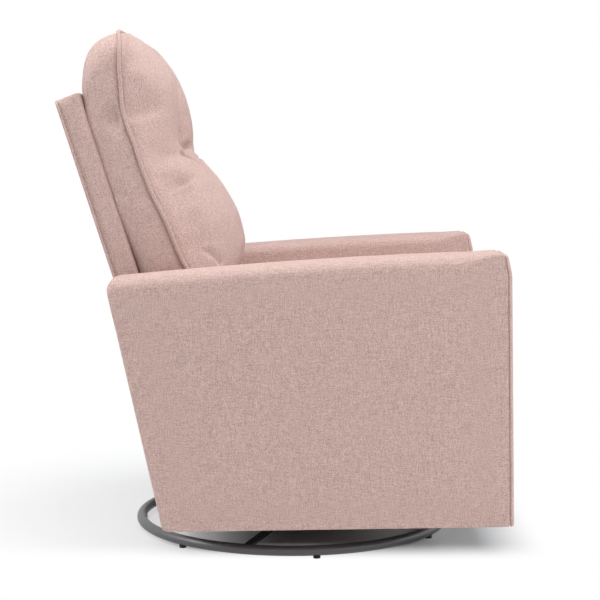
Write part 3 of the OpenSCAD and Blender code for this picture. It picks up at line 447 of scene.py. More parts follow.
# Where the top's roll comes in by height, goes out by depth towards the front, and the rear's comes in
TOP_FADE = (0.42, 0.50)
FRONT_FADE = (0.33, 0.405)
REAR_FADE = (0.195, 0.222)
REAR_SLOPE = 0.22
REAR_FOOT = 0.073
ARM_SHARP = 50.0
POINT_STEP = 0.006
CUP_ROOM = 0.0006
CUP_LIP = 0.006
CUP_PAST = 0.02
ALONG_X = np.array([1.0, 0, 0])
arm_low, arm_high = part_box("arm_left_cover")
arm_edge_in, arm_edge_out = arm_low[0], arm_high[0]
front_lean = math.atan2(ARM_FRONT_HIGH[0] - ARM_FRONT_LOW[0], ARM_FRONT_HIGH[1] - ARM_FRONT_LOW[1])
front_up = np.array([0.0, math.sin(front_lean), math.cos(front_lean)])
front_out = np.array([0.0, -math.cos(front_lean), math.sin(front_lean)])
front_foot = np.array([0.0, *ARM_FRONT_LOW])
facing_tall = math.dist(ARM_FRONT_LOW, ARM_FRONT_HIGH)


def arm_top_height(y):
    """The arm's top line falls towards the back in a shallow curve, a quadratic in the depth."""
    return 0.56516 - 0.0713 * y - 0.0484 * y * y


def round_corners(points, radii):
    """A closed outline through these corners, each replaced by an arc of its radius that is tangent
    to both sides."""
    corners = np.asarray(points, float)
    arcs = []
    befores, afters = np.roll(corners, 1, 0), np.roll(corners, -1, 0)
    for before, corner, after, radius in zip(befores, corners, afters, radii):
        back, ahead = before - corner, after - corner
        back, ahead = back / np.hypot(*back), ahead / np.hypot(*ahead)
        half_angle = math.acos(np.clip(back @ ahead, -1, 1)) / 2
        reach = radius / math.tan(half_angle)
        middle = corner + (back + ahead) / np.hypot(*(back + ahead)) * radius / math.sin(half_angle)
        first, last = corner + back * reach - middle, corner + ahead * reach - middle
        sweep = math.atan2(first[0] * last[1] - first[1] * last[0], first @ last)
        turns = np.linspace(0, sweep, 9)[:, None]
        arcs.append(middle + first * np.cos(turns) + np.array([-first[1], first[0]]) * np.sin(turns))
    return np.concatenate(arcs)


def even_loop(points, step):
    """The same closed outline with points an even step apart along it."""
    closed = np.vstack([points, points[:1]])
    along = np.concatenate([[0], np.cumsum(np.linalg.norm(np.diff(closed, axis=0), axis=1))])
    stations = np.linspace(0, along[-1], int(round(along[-1] / step)), endpoint=False)
    return np.stack([np.interp(stations, along, closed[:, axis]) for axis in range(closed.shape[1])], axis=1)


def rounded_box(low, high, radii, step):
    """A rectangle between two corners with these corner radii, its points an even step apart."""
    corners = [low, (high[0], low[1]), high, (low[0], high[1])]
    return even_loop(round_corners(corners, radii), step)


def smooth_step(value, low, high):
    """0 below low, 1 above high and an S-shaped rise between them."""
    share = np.clip((value - low) / (high - low), 0, 1)
    return share * share * (3 - 2 * share)


def finish_mesh(mesh, sharp_angle):
    """Points the faces outwards, shades them smooth and keeps edges over that angle sharp."""
    work = bmesh.new()
    work.from_mesh(mesh)
    bmesh.ops.recalc_face_normals(work, faces=work.faces)
    if work.calc_volume(signed=True) < 0:
        bmesh.ops.reverse_faces(work, faces=work.faces)
    work.to_mesh(mesh)
    work.free()
    mesh.shade_smooth()
    mesh.set_sharp_from_angle(angle=math.radians(sharp_angle))
    return mesh


def closed_skin(name, rings, sharp_angle):
    """A closed surface through rings of equal length (rings x points x 3). Quads join each point to its
    neighbours, and a fan closes each end ring at its mean point."""
    rings = np.asarray(rings, float)
    count, size = rings.shape[:2]
    ends = np.stack([rings[0].mean(axis=0), rings[-1].mean(axis=0)])
    points = np.concatenate([rings.reshape(-1, 3), ends])
    here = np.arange(size)
    ahead = (here + 1) % size
    start = np.arange(count - 1)[:, None] * size
    quads = np.stack([start + here, start + ahead, start + size + ahead, start + size + here], axis=-1)
    last = (count - 1) * size
    first_fan = np.stack([ahead, here, np.full(size, count * size)], axis=-1)
    last_fan = np.stack([here + last, ahead + last, np.full(size, count * size + 1)], axis=-1)
    faces = [*quads.reshape(-1, 4).tolist(), *first_fan.tolist(), *last_fan.tolist()]
    mesh = bpy.data.meshes.new(name)
    mesh.from_pydata(points.tolist(), [], faces)
    return finish_mesh(mesh, sharp_angle)


def with_modifier(piece, kind, **settings):
    """Applies one modifier to a piece, without operators."""
    added = piece.modifiers.new(kind.lower(), kind)
    for name, value in settings.items():
        setattr(added, name, value)
    bpy.context.view_layer.update()
    made = bpy.data.meshes.new_from_object(piece.evaluated_get(bpy.context.evaluated_depsgraph_get()))
    piece.modifiers.clear()
    piece.data = made


def on_front(flat, out):
    """Points of the arm's front, given by width, height up it and distance out of it. Near its top the
    front leans back, where the cover is drawn over the arm's end."""
    flat = np.asarray(flat, float)
    out = out - FRONT_BOW * smooth_step(flat[:, 1], facing_tall - FRONT_BOW_TALL, facing_tall)
    return ALONG_X * flat[:, :1] + front_foot + flat[:, 1:] * front_up + np.multiply.outer(out, front_out)


def arm_outline():
    """The side view of an arm in depth and height: front, rolled top, rear and bottom edges."""
    climb = facing_tall - FRONT_BOW_TALL * np.linspace(1, 0, FRONT_POINTS)
    front = on_front(np.column_stack([np.zeros(FRONT_POINTS), climb]), 0.0)[:, 1:]
    depths = np.linspace(*ARM_TOP_ENDS, ARM_TOP_POINTS)
    top = np.stack([depths, arm_top_height(depths)], axis=1)
    corners = np.vstack([[ARM_FRONT_LOW], front, top, [ARM_REAR_HIGH], [ARM_REAR_LOW]])
    radii = [FRONT_FOOT_R, *[FRONT_BOW_R] * (FRONT_POINTS - 1), FRONT_TOP_R, *[TOP_LINE_R] * ARM_TOP_POINTS,
             REAR_TOP_R, REAR_FOOT_R]
    return even_loop(round_corners(corners, radii), POINT_STEP)


def arm_skin(name, side):
    """The side view is carried across the arm. Its top rolls in by a quarter ellipse at both faces, and
    its rear edge by a smaller one. The roll fades towards the square front, and each face is crowned."""
    outline = arm_outline()
    depth, height = outline[:, 0], outline[:, 1]
    at_top = smooth_step(height, *TOP_FADE)
    square = 1 - FRONT_SQUARE_SHARE * smooth_step(-depth, *FRONT_FADE)
    drop = ARM_ROLL * at_top * square
    draw = ARM_REAR_ROLL * smooth_step(depth - REAR_SLOPE * (height - REAR_FOOT), *REAR_FADE)
    middle = np.array([depth.mean(), height.mean()])
    edge = np.stack([depth - draw, height - drop], axis=1)
    halves = [(ARM_CROWN * (1 - share ** 4), middle + (edge - middle) * share)
              for share in np.linspace(0.04, 0.985, 15)]
    for angle in np.radians(np.linspace(0, 90, 8)):
        inset = ARM_ROLL * (1 - math.cos(angle)) * square
        shrink = 1 - math.sin(angle)
        halves.append((-inset, np.stack([depth - draw * shrink, height - drop * shrink], axis=1)))
    outer = [np.column_stack([np.full(len(flat), arm_edge_out) + out, flat]) for out, flat in halves]
    inner = [np.column_stack([np.full(len(flat), arm_edge_in) - out, flat]) for out, flat in halves[::-1]]
    over_top = []
    top_wide = arm_edge_in - arm_edge_out + 2 * ARM_ROLL * square
    for share in np.linspace(0.12, 0.88, 7):
        across = arm_edge_out - ARM_ROLL * square + share * top_wide
        crown = ARM_TOP_CROWN * math.sin(math.pi * share) * at_top * square
        over_top.append(np.column_stack([across, depth, height + crown]))
    rings = np.array(outer + over_top + inner)
    rings[:, :, 0] *= side
    return closed_skin(name, rings, ARM_SHARP)


def open_for_cup(cover):
    """Cuts the arm's inner face open where the release cup is let in, a lip inside the cup's rim."""
    cup_low, cup_high = np.array(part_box("release_cup"))
    low = cup_low + (-CUP_ROOM, CUP_LIP - CUP_ROOM, CUP_LIP - CUP_ROOM)
    high = cup_high + (CUP_PAST, CUP_ROOM - CUP_LIP, CUP_ROOM - CUP_LIP)
    work = bmesh.new()
    bmesh.ops.create_cube(work, size=1.0)
    for vertex in work.verts:
        vertex.co = Vector((low + high) / 2 + np.array(vertex.co) * (high - low))
    cutter_mesh = bpy.data.meshes.new("cup_opening")
    work.to_mesh(cutter_mesh)
    work.free()
    cutter = new_piece("cup_opening", cutter_mesh)
    with_modifier(cover, "BOOLEAN", operation="DIFFERENCE", solver="EXACT", object=cutter)
    cover.data.set_sharp_from_angle(angle=math.radians(ARM_SHARP))
    bpy.data.objects.remove(cutter)


for name, side in (("arm_left", 1), ("arm_right", -1)):
    cover = new_piece(name + "_upholstery", arm_skin(name + "_upholstery", side), blush)
    if side < 0:
        open_for_cup(cover)
    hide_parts(name + "_cover")
    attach(cover, "chair")


# The front facing of each arm is a separate padded panel, stapled on over the ends of the arm's cover
# with a thin welt in the seam. It stands proud of the arm and is rounded at its top corners.
FACING_DEEP = 0.0105
FACING_INSET = 0.0012
FACING_CORNER = 0.007
FACING_LEAST_CORNER = 0.002
FACING_FOOT_R = 0.004
FACING_FOOT_DROP = 0.0022
FACING_SIDE_ROLL = 0.8 * FACING_DEEP
FACING_TOP_ROLL = 0.012
FACING_FOOT_ROLL = 0.004
SHOULDER_SHARE = 0.85
# Rings of the groove at the seam: the distance in from the facing's edge and out of the arm's front
FACING_GROOVE = ((0.0034, 0.0), (0.0016, 0.0008), (0.0005, 0.0018), (0.0, 0.0030))
WELT_THIN = 0.0018
WELT_INSET = 0.0042
WELT_OUT = 0.0008


def facing_loop(inset):
    """The facing's outline in width and height, this far inside the arm's front end."""
    corner = max(FACING_CORNER - inset, FACING_LEAST_CORNER)
    low = (arm_edge_in + inset, inset - FACING_FOOT_DROP)
    high = (arm_edge_out - inset, facing_tall - inset)
    return rounded_box(low, high, [FACING_FOOT_R, FACING_FOOT_R, corner, corner], POINT_STEP)


def facing_skin(name, side):
    """A pad over the outline: a groove at the seam, a rim that rolls over in a quarter ellipse, longer at
    the top than at the foot, and a face that is crowned by one less the square of the share."""
    loop = facing_loop(FACING_INSET)
    middle = (loop.max(axis=0) + loop.min(axis=0)) / 2
    half = (loop.max(axis=0) - loop.min(axis=0)) / 2
    rings = [on_front(middle + (loop - middle) * (1 - inset / half), out) for inset, out in FACING_GROOVE]
    climb = np.where(loop[:, 1] > middle[1], FACING_TOP_ROLL, FACING_FOOT_ROLL)
    rolled = np.column_stack([np.full(len(loop), FACING_SIDE_ROLL), climb])
    rim = FACING_GROOVE[-1][1]
    for angle in np.radians(np.linspace(18, 90, 7)):
        inset = rolled * (1 - math.cos(angle))
        out = rim + (SHOULDER_SHARE * FACING_DEEP - rim) * math.sin(angle)
        rings.append(on_front(middle + (loop - middle) * (1 - inset / half), out))
    face = (loop - middle) * (1 - rolled / half)
    for share in (0.84, 0.7, 0.5, 0.25, 0.05):
        crown = SHOULDER_SHARE + (1 - SHOULDER_SHARE) * (1 - share ** 2)
        rings.append(on_front(middle + face * share, FACING_DEEP * crown))
    rings = np.array(rings)
    rings[:, :, 0] *= side
    return closed_skin(name, rings, 60.0)


def cord_skin(name, path, radius, sides=10):
    """A round cord of this radius carried along a closed path of points."""
    path = np.asarray(path, float)
    along = np.roll(path, -1, 0) - np.roll(path, 1, 0)
    along /= np.linalg.norm(along, axis=1, keepdims=True)
    normal = np.linalg.svd(path - path.mean(axis=0), full_matrices=False)[2][2]
    across = np.cross(along, normal)
    across /= np.linalg.norm(across, axis=1, keepdims=True)
    upward = np.cross(across, along)
    turn = np.linspace(0, 2 * math.pi, sides, endpoint=False)[:, None]
    spokes = np.cos(turn) * across[:, None] + np.sin(turn) * upward[:, None]
    rings = path[:, None] + radius * spokes
    here = np.arange(len(path))[:, None] * sides
    ahead = np.roll(here, -1, 0)
    side = np.arange(sides)
    nearby = (side + 1) % sides
    quads = np.stack([here + side, here + nearby, ahead + nearby, ahead + side], axis=-1).reshape(-1, 4)
    mesh = bpy.data.meshes.new(name)
    mesh.from_pydata(rings.reshape(-1, 3).tolist(), [], quads.tolist())
    return finish_mesh(mesh, 80.0)


def joined(name, meshes):
    """One mesh of several."""
    work = bmesh.new()
    for mesh in meshes:
        work.from_mesh(mesh)
    made = bpy.data.meshes.new(name)
    work.to_mesh(made)
    work.free()
    made.shade_smooth()
    return made


pad_meshes, welt_meshes = [], []
for side in (1, -1):
    path = on_front(facing_loop(WELT_INSET), WELT_OUT)
    path[:, 0] *= side
    pad_meshes.append(facing_skin("facing", side))
    welt_meshes.append(cord_skin("facing_welt", path, WELT_THIN))
facings = new_piece("arm_facing_pads", joined("arm_facing_pads", pad_meshes), blush)
facing_welts = new_piece("arm_facing_welts", joined("arm_facing_welts", welt_meshes), blush_welt)
for piece, node_name, slot_name in ((facings, "arm_front_facings", "upholstery"),
                                    (facing_welts, "arm_front_welts", "welt")):
    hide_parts(node_name)
    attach(piece, "chair")


# The rear panel closes the chair below the back: hardboard with a thin pad, covered in the same cloth
# and stapled to the rear rails between the arms.
PANEL_PUFF = 0.003
PANEL_END_ROOM = 0.0005
PANEL_CORNER = 0.006
PANEL_STEP = 0.008


def read_vectors(items, field):
    """One vector of each vertex or normal, as the rows of an array."""
    rows = np.zeros(len(items) * 3)
    items.foreach_get(field, rows)
    return rows.reshape(-1, 3)


def get_points(mesh):
    """A mesh's points as an array."""
    return read_vectors(mesh.vertices, "co")


slope = (ARM_REAR_HIGH[0] - ARM_REAR_LOW[0]) / (ARM_REAR_HIGH[1] - ARM_REAR_LOW[1])
panel_up = np.array([0.0, slope, 1.0]) / math.hypot(slope, 1.0)
panel_out = np.array([0.0, 1.0, -slope]) / math.hypot(slope, 1.0)
panel_points = get_points(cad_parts["rear_panel"].data)
panel_along, panel_across = panel_points @ panel_up, panel_points @ panel_out


def panel_skin():
    """A flat pad between the panel's own edges: rounded rectangles that rise to a crowned face."""
    half_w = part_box("rear_panel")[1][0]
    low, high = panel_along.min() + PANEL_END_ROOM, panel_along.max() - PANEL_END_ROOM
    back, front = panel_across.max(), panel_across.min()
    loop = rounded_box((-half_w, low), (half_w, high), [PANEL_CORNER] * 4, PANEL_STEP)
    middle = np.array([0.0, (low + high) / 2])
    half = np.array([half_w, (high - low) / 2])
    rings = []
    for inset, out in ((0.05, front), (0.002, front), (0.0, front + 0.002), (0.0, back - 0.004),
                       (0.0012, back - 0.0015), (0.005, back), (0.02, back + PANEL_PUFF * 0.5),
                       (0.07, back + PANEL_PUFF), (0.13, back + PANEL_PUFF)):
        flat = middle + (loop - middle) * (1 - inset / half)
        rings.append(flat[:, :1] * ALONG_X + flat[:, 1:] * panel_up + out * panel_out)
    return closed_skin("rear_panel_pad", np.array(rings), 60.0)


rear_pad = new_piece("rear_panel_pad", panel_skin(), blush)
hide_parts("rear_panel")
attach(rear_pad, "chair")


# The seat cushion is foam in a boxed cover, crowned on top and flat on the deck, with a welt round its
# top edge. A padded border of the same cloth hangs from its front over the seat rail.
SEAT_SIDE_ROOM = 0.0045
SEAT_EDGE = 0.082
SEAT_ROUND = 0.030
SEAT_VOXEL = 0.0075
SEAT_REACH = 0.012
SEAT_WELT = 0.0035
SEAT_WELT_SHARE = 0.985
SEAT_WELT_DROP = 0.002
BORDER_DEEP = 0.024
BORDER_ROOM = 0.001
BORDER_CORNER = 0.012
BORDER_PROUD = 0.0008
PAD_STEP = 0.012
CLOTH_FRAMES = 20
SOFTEN_PASSES = 10
# Rows of a pad from its underside to the middle of its top: the share of its half sizes, and the height
SEAT_PROFILE = [(0.5, 0.0), (0.97, 0.0), (0.99, 0.010), (0.992, 0.040), (0.992, SEAT_EDGE - 0.012),
                (0.975, SEAT_EDGE), (0.9, SEAT_EDGE + 0.006), (0.7, SEAT_EDGE + 0.011),
                (0.35, SEAT_EDGE + 0.013)]
BORDER_PROFILE = [(0.5, 0.0), (0.995, 0.0), (1.0, 0.004), (1.0, 0.012), (0.985, 0.019),
                  (0.93, BORDER_DEEP - 0.001), (0.6, BORDER_DEEP + 0.001), (0.2, BORDER_DEEP + 0.0015)]
CLOTH_SETTINGS = {"quality": 6, "use_pressure": True, "vertex_group_mass": "held", "tension_stiffness": 12,
                  "compression_stiffness": 12, "bending_stiffness": 1.5}


def set_points(mesh, points):
    """Moves a mesh's points."""
    mesh.vertices.foreach_set("co", np.asarray(points, np.float32).ravel())
    mesh.update()


def inflate(piece, held, pressure, reach, slack):
    """Blows the piece up as cloth. held is how firmly each point stays, from 0 to 1, reach is how far it
    may move, and slack how much larger the cloth is than the shape that it is cut to. The movement is
    averaged between neighbours a few times, which leaves soft swells and no crumples."""
    group = piece.vertex_groups.new(name="held")
    for level in np.unique(np.round(held, 1)):
        if level > 0:
            group.add(np.flatnonzero(np.round(held, 1) == level).tolist(), float(level), "REPLACE")
    before = get_points(piece.data)
    cloth = piece.modifiers.new("cloth", "CLOTH")
    for name, value in CLOTH_SETTINGS.items():
        setattr(cloth.settings, name, value)
    cloth.settings.uniform_pressure_force = pressure
    cloth.settings.effector_weights.gravity = 0
    cloth.settings.shrink_min = -slack
    cloth.point_cache.frame_end = CLOTH_FRAMES
    for step in range(1, CLOTH_FRAMES + 1):
        bpy.context.scene.frame_set(step)
    shown = piece.evaluated_get(bpy.context.evaluated_depsgraph_get())
    moved = get_points(shown.data) - before
    piece.modifiers.clear()
    bpy.context.scene.frame_set(1)
    length = np.maximum(np.linalg.norm(moved, axis=1), 1e-9)
    moved *= np.minimum(1, reach / length)[:, None]
    ends = np.zeros(len(piece.data.edges) * 2, np.int32)
    piece.data.edges.foreach_get("vertices", ends)
    first, second = ends.reshape(-1, 2).T
    count = np.bincount(ends, minlength=len(before))[:, None]
    for repeat in range(SOFTEN_PASSES):
        around = np.zeros_like(moved)
        for axis in range(3):
            around[:, axis] = (np.bincount(first, moved[second, axis], len(before))
                               + np.bincount(second, moved[first, axis], len(before)))
        moved = (moved + around / count) / 2
    set_points(piece.data, before + moved)


def boxed_pad(name, half_w, half_d, corner, profile):
    """A pad through rounded rectangles. profile rows are (share of the half sizes, height)."""
    loop = rounded_box((-half_w, -half_d), (half_w, half_d), [corner] * 4, PAD_STEP)
    rings = [np.column_stack([loop * share, np.full(len(loop), height)]) for share, height in profile]
    return closed_skin(name, np.array(rings), 180.0)


def stand_up(mesh, offset):
    """Turns a flat pad upright with its top towards the front, and moves it into place."""
    set_points(mesh, get_points(mesh)[:, [0, 2, 1]] * (1, -1, 1) + offset)
    finish_mesh(mesh, 180.0)


def welt_on(name, piece, path, radius, proud):
    """A cord along a closed path, drawn onto the nearest places of the piece and smoothed. Its middle
    stands out of the cover by this share of its radius."""
    faces = BVHTree.FromPolygons([tuple(p) for p in get_points(piece.data)],
                                 [tuple(f.vertices) for f in piece.data.polygons])
    drawn = []
    for point in path:
        near, normal = faces.find_nearest(Vector(point))[:2]
        drawn.append(np.array(near) + proud * radius * np.array(normal))
    drawn = np.array(drawn)
    for repeat in range(6):
        drawn = (np.roll(drawn, 1, 0) + 2 * drawn + np.roll(drawn, -1, 0)) / 4
    return drawn, new_piece(name, cord_skin(name, even_loop(drawn, 0.005), radius, 12), blush_welt)


seat_low, seat_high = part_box("seat_cushion")
deck_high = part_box("deck_pad")[1]
deck_top, seat_rear = deck_high[2], deck_high[1]
seat_half_w = seat_high[0] - SEAT_SIDE_ROOM / 3
seat_half_d = (seat_rear - seat_low[1]) / 2
seat_middle_y = (seat_rear + seat_low[1]) / 2
seat_mesh = boxed_pad("seat_pad", seat_half_w, seat_half_d, SEAT_ROUND, SEAT_PROFILE)
seat = new_piece("seat_pad", seat_mesh, blush)
with_modifier(seat, "REMESH", mode="VOXEL", voxel_size=SEAT_VOXEL)
seat_points = get_points(seat.data)
outward, along, tall = np.abs(seat_points).T
rim = np.abs(tall - SEAT_EDGE) < 0.004
at_edge = np.maximum(outward / seat_half_w, along / seat_half_d) > 0.955
seat_held = np.where(seat_points[:, 2] < 0.006, 1.0, np.where(rim & at_edge, 0.9, 0.0))
inflate(seat, seat_held, 2.4, np.full(len(seat_points), SEAT_REACH), 0.012)
with_modifier(seat, "SUBSURF", levels=1, render_levels=1)
seat_points = get_points(seat.data)
seat_side = seat_high[0] + SEAT_SIDE_ROOM
seat_points[:, 0] = np.clip(seat_points[:, 0], -seat_side, seat_side)
seat_points[:, 2] = np.maximum(seat_points[:, 2], 0)
seat_points += (0, seat_middle_y, deck_top)
set_points(seat.data, seat_points)
seat.data.shade_smooth()
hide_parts("seat_cushion")
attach(seat, "chair")

seat_rim = SEAT_WELT_SHARE * rounded_box((-seat_half_w, -seat_half_d), (seat_half_w, seat_half_d),
                                         [SEAT_ROUND] * 4, 0.008)
seat_rim = np.column_stack([seat_rim[:, 0], seat_rim[:, 1] + seat_middle_y,
                            np.full(len(seat_rim), deck_top + SEAT_EDGE - SEAT_WELT_DROP)])
seat_welt = welt_on("seat_pad_welt", seat, seat_rim, SEAT_WELT, 0.3)[1]
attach(seat_welt, "chair")

border_top = deck_top + 0.5 * SEAT_EDGE
border_low = seat_low[2] + BORDER_ROOM
border_half_h = (border_top - border_low) / 2
border_mesh = boxed_pad("seat_front_border", seat_half_w - BORDER_ROOM, border_half_h, BORDER_CORNER,
                        BORDER_PROFILE)
border = new_piece("seat_front_border", border_mesh, blush)
stand_up(border.data, (0, seat_low[1] + BORDER_DEEP + BORDER_PROUD, (border_top + border_low) / 2))
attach(border, "chair")


# The back is a flat slab: a hardwood frame under thin foam and cloth, piped round the edge of its rear
# panel. It leans back from the hinge and carries the back cushion.
HINGE = np.array([0.0, 0.238, 0.351])
SLAB_TALL = 0.552
SLAB_HALF_T = 0.0245
SLAB_SIDE_ROOM = 0.003
SLAB_ROLL = 0.013
SLAB_REAR_ROLL = 0.0035
SLAB_END_INSET = 0.02
SLAB_TOP_DROP = 0.004
SLAB_RADII = (0.0235, 0.0235, 0.005, 0.009)
SLAB_PUFF = 0.004
PUFF_EDGE = 0.06
PIPING = 0.0026
slab_half_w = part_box("back_shell")[1][0] - SLAB_SIDE_ROOM
slab_up = np.array([0.0, math.sin(BACK_LEAN), math.cos(BACK_LEAN)])
slab_ahead = np.array([0.0, -math.cos(BACK_LEAN), math.sin(BACK_LEAN)])


def on_back(across, tall, ahead):
    """Points of the back from width, height up the slab from the hinge, and distance ahead of its middle."""
    across, tall, ahead = np.broadcast_arrays(*(np.asarray(a, float) for a in (across, tall, ahead)))
    return HINGE + across[..., None] * ALONG_X + tall[..., None] * slab_up + ahead[..., None] * slab_ahead


def slab_skin():
    """The slab's side outline, round at the hinge, is carried across its width. It draws in at both
    sides, and its rear face is puffed a little inside the piping."""
    corners = [(-SLAB_HALF_T, -SLAB_HALF_T), (SLAB_HALF_T, -SLAB_HALF_T), (SLAB_HALF_T, SLAB_TALL),
               (-SLAB_HALF_T, SLAB_TALL - SLAB_TOP_DROP)]
    loop = even_loop(round_corners(corners, SLAB_RADII), 0.004)
    middle = loop.mean(axis=0)
    half = np.array([SLAB_HALF_T, SLAB_TALL / 2])
    rows = [(slab_half_w, SLAB_END_INSET, SLAB_END_INSET), (slab_half_w, SLAB_REAR_ROLL, SLAB_ROLL)]
    for angle in np.radians((15, 30, 45, 60, 75, 90)):
        draw = SLAB_ROLL * (1 - math.cos(angle))
        front = SLAB_ROLL * (1 - math.sin(angle))
        rows.append((slab_half_w - draw, max(0.0, SLAB_REAR_ROLL - draw), front))
    inner = [(x, 0.0, 0.0) for x in np.linspace(slab_half_w - 0.04, 0.04 - slab_half_w, 15)]
    mirrored = [(-x, rear, front) for x, rear, front in rows[::-1]]
    rings = []
    for across, rear_inset, front_inset in rows + inner + mirrored:
        inset = np.where(loop[:, :1] > 0, front_inset, rear_inset) * (1, 0) + (0, rear_inset)
        flat = middle + (loop - middle) * (1 - inset / half)
        puff = SLAB_PUFF * smooth_step(1 - abs(across) / slab_half_w, 0.0, 0.16)
        puff = puff * smooth_step(-flat[:, 0], 0.015, 0.024)
        puff = puff * smooth_step(flat[:, 1], 0.0, PUFF_EDGE)
        puff = puff * smooth_step(SLAB_TALL - flat[:, 1], 0.0, PUFF_EDGE)
        rings.append(on_back(across, flat[:, 1], flat[:, 0] - puff))
    return closed_skin("back_slab", np.array(rings), 60.0)


slab = new_piece("back_slab", slab_skin(), blush_back)
pipe_half, pipe_top = slab_half_w + 0.0004, SLAB_TALL - 0.0045
pipe_loop = rounded_box((-pipe_half, 0.012), (pipe_half, pipe_top), [0.01, 0.01, 0.008, 0.008], 0.006)
pipe_path = on_back(pipe_loop[:, 0], pipe_loop[:, 1], 0.0030 - SLAB_HALF_T)
slab_piping = new_piece("back_slab_piping", cord_skin("back_slab_piping", pipe_path, PIPING), blush_welt)
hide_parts("back_shell")
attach(slab, "back")
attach(slab_piping, "back")
dress(side_steel, "back_brackets")
dress(bright_pins, "hinge_pins")


# The back cushion is loose fibre in a boxed cover, fastened to the slab along its top. A channel down
# the middle parts the head roll in two, and it meets the fuller lumbar roll in a pinched tuck.
CUSHION_LOW = 0.104
CUSHION_TOP = 0.651
CUSHION_HALF = 0.261
CUSHION_CORNER = 0.046
TOP_ARCH = 0.020
CUSHION_WELT = 0.0037
SEAM_GROOVE = 0.0018
GROOVE_WIDE = 0.0060
CUSHION_VOXEL = 0.0055
START_IN = 0.005
CUSHION_REACH = 0.009
REAR_GAP = 0.0004
# The boxing draws in to the slab, above this height also downwards, and lifts at its foot
BOXING_DRAW = 0.925
BOXING_BEND = 0.42
BOXING_LIFT = 0.036
BOXING_PUFF = 0.005
# The head roll begins over these heights; its channel comes in, thins and goes out over the others
HEAD_FADE = (0.375, 0.425)
CHANNEL_DEEP = 0.068
CHANNEL_WIDE = 0.042
CHANNEL_IN = (0.392, 0.412)
CHANNEL_THIN = (0.50, 0.63)
CHANNEL_OUT = (0.60, 0.645)
PANEL_SHARES = (0.985, 0.965, 0.94, 0.91, 0.88, 0.84, 0.8, 0.75, 0.7, 0.65, 0.6, 0.55, 0.5, 0.45, 0.4, 0.35,
                0.3, 0.25, 0.2, 0.15, 0.1, 0.05)
cushion_tall = CUSHION_TOP - CUSHION_LOW
cushion_middle = (CUSHION_TOP + CUSHION_LOW) / 2

# Heights up the slab with the distance ahead of it: at the side seam, down the lumbar roll's middle,
# and over the crest of each half of the head roll, whose tops are the same
HEAD_TOP = [(584, 150), (604, 141), (626, 127), (640, 118), (657, 106)]
seam_rise = np.array([
    (104, 116), (120, 104), (170, 91), (184, 88), (215, 84), (272, 81), (325, 72), (375, 69), (401, 69),
    (429, 70), (455, 68), (475, 66), (494, 68), (509, 71), (531, 77), (554, 83), (576, 88), (595, 94),
    (611, 100), (628, 106), (637, 106), (646, 97), (657, 88)]) / 1000
lumbar_rise = np.array([
    (104, 128), (112, 160), (133, 184), (170, 195), (208, 199), (238, 200), (275, 193), (312, 183),
    (330, 176), (350, 167), (376, 156), (400, 150), (430, 150), (657, 100)]) / 1000
far_head_rise = np.array([
    (104, 128), (376, 150), (398, 153), (406, 154), (437, 161), (468, 166.5), (500, 169.5), (533, 166),
    (561, 161), *HEAD_TOP]) / 1000
near_head_rise = np.array([
    (104, 128), (376, 138), (399, 138), (425, 144), (450, 152), (482, 163), (515, 172), (540, 169),
    (561, 162), *HEAD_TOP]) / 1000

# Each tuck's two ends, by width, height up the slab and distance ahead of it, its depth, its widths below
# and above the line, the shares of its length where it fades in and out, and the axis that it ignores.
# Out from the pinch under the head roll, and a fold below it that runs down to the middle; in from the
# side seam under the head roll, and across the boxing; a short smile and a pleat on the lumbar roll.
TUCKS = [((0.0, 0.402, 0), (0.110, 0.396, 0), 0.017, 0.004, 0.008, 0.05, 0.5, 2),
         ((0.155, 0.389, 0), (0.040, 0.354, 0), 0.009, 0.006, 0.004, 0.25, 0.25, 2),
         ((0.262, 0.478, 0), (0.180, 0.476, 0), 0.006, 0.009, 0.034, 0.02, 0.8, 2),
         ((0, 0.478, 0.060), (0, 0.486, 0.015), 0.0045, 0.018, 0.024, 0.15, 0.9, 0),
         ((0.232, 0.321, 0), (0.168, 0.333, 0), 0.005, 0.0028, 0.010, 0.3, 0.3, 2),
         ((0.240, 0.197, 0), (0.214, 0.150, 0), 0.0045, 0.0035, 0.010, 0.3, 0.2, 2)]


def soft_curve(table, heights, blur=0.009):
    """The table's line at these heights, blurred so that its corners are round."""
    fine = np.arange(-0.06, 0.82, 0.001)
    line = np.interp(fine, table[:, 0], table[:, 1])
    window = np.exp(-np.linspace(-3, 3, int(6 * blur / 0.001) | 1) ** 2 / 2)
    padded_line = np.pad(line, len(window) // 2, mode="edge")
    return np.interp(heights, fine, np.convolve(padded_line, window / window.sum(), "valid"))


def front_depth(across, tall):
    """How far ahead of the slab the cover stands. From the crest it falls to the seam as (1 - s^p)^q over
    the share s of the half width, later in the head roll. The channel fades as exp(-(width / wide)^3)."""
    side = np.clip(np.abs(across) / CUSHION_HALF, 0, 1)
    seam = soft_curve(seam_rise, tall)
    in_head = smooth_step(tall, *HEAD_FADE)
    near_share = smooth_step(-across, -0.04, 0.04)
    head = near_share * soft_curve(near_head_rise, tall) + (1 - near_share) * soft_curve(far_head_rise, tall)
    lumbar = soft_curve(lumbar_rise, tall)
    crest = lumbar + (head - lumbar) * in_head
    section = (1 - side ** 2.7) ** 0.6
    section = section + in_head * ((1 - side ** 3.6) ** 0.52 - section)
    channel = CHANNEL_DEEP * smooth_step(tall, *CHANNEL_IN) * (1 - 0.7 * smooth_step(tall, *CHANNEL_THIN))
    channel = channel * (1 - smooth_step(tall, *CHANNEL_OUT)) * np.exp(-(np.abs(across) / CHANNEL_WIDE) ** 3)
    return seam + (crest - seam) * section - channel - START_IN * section


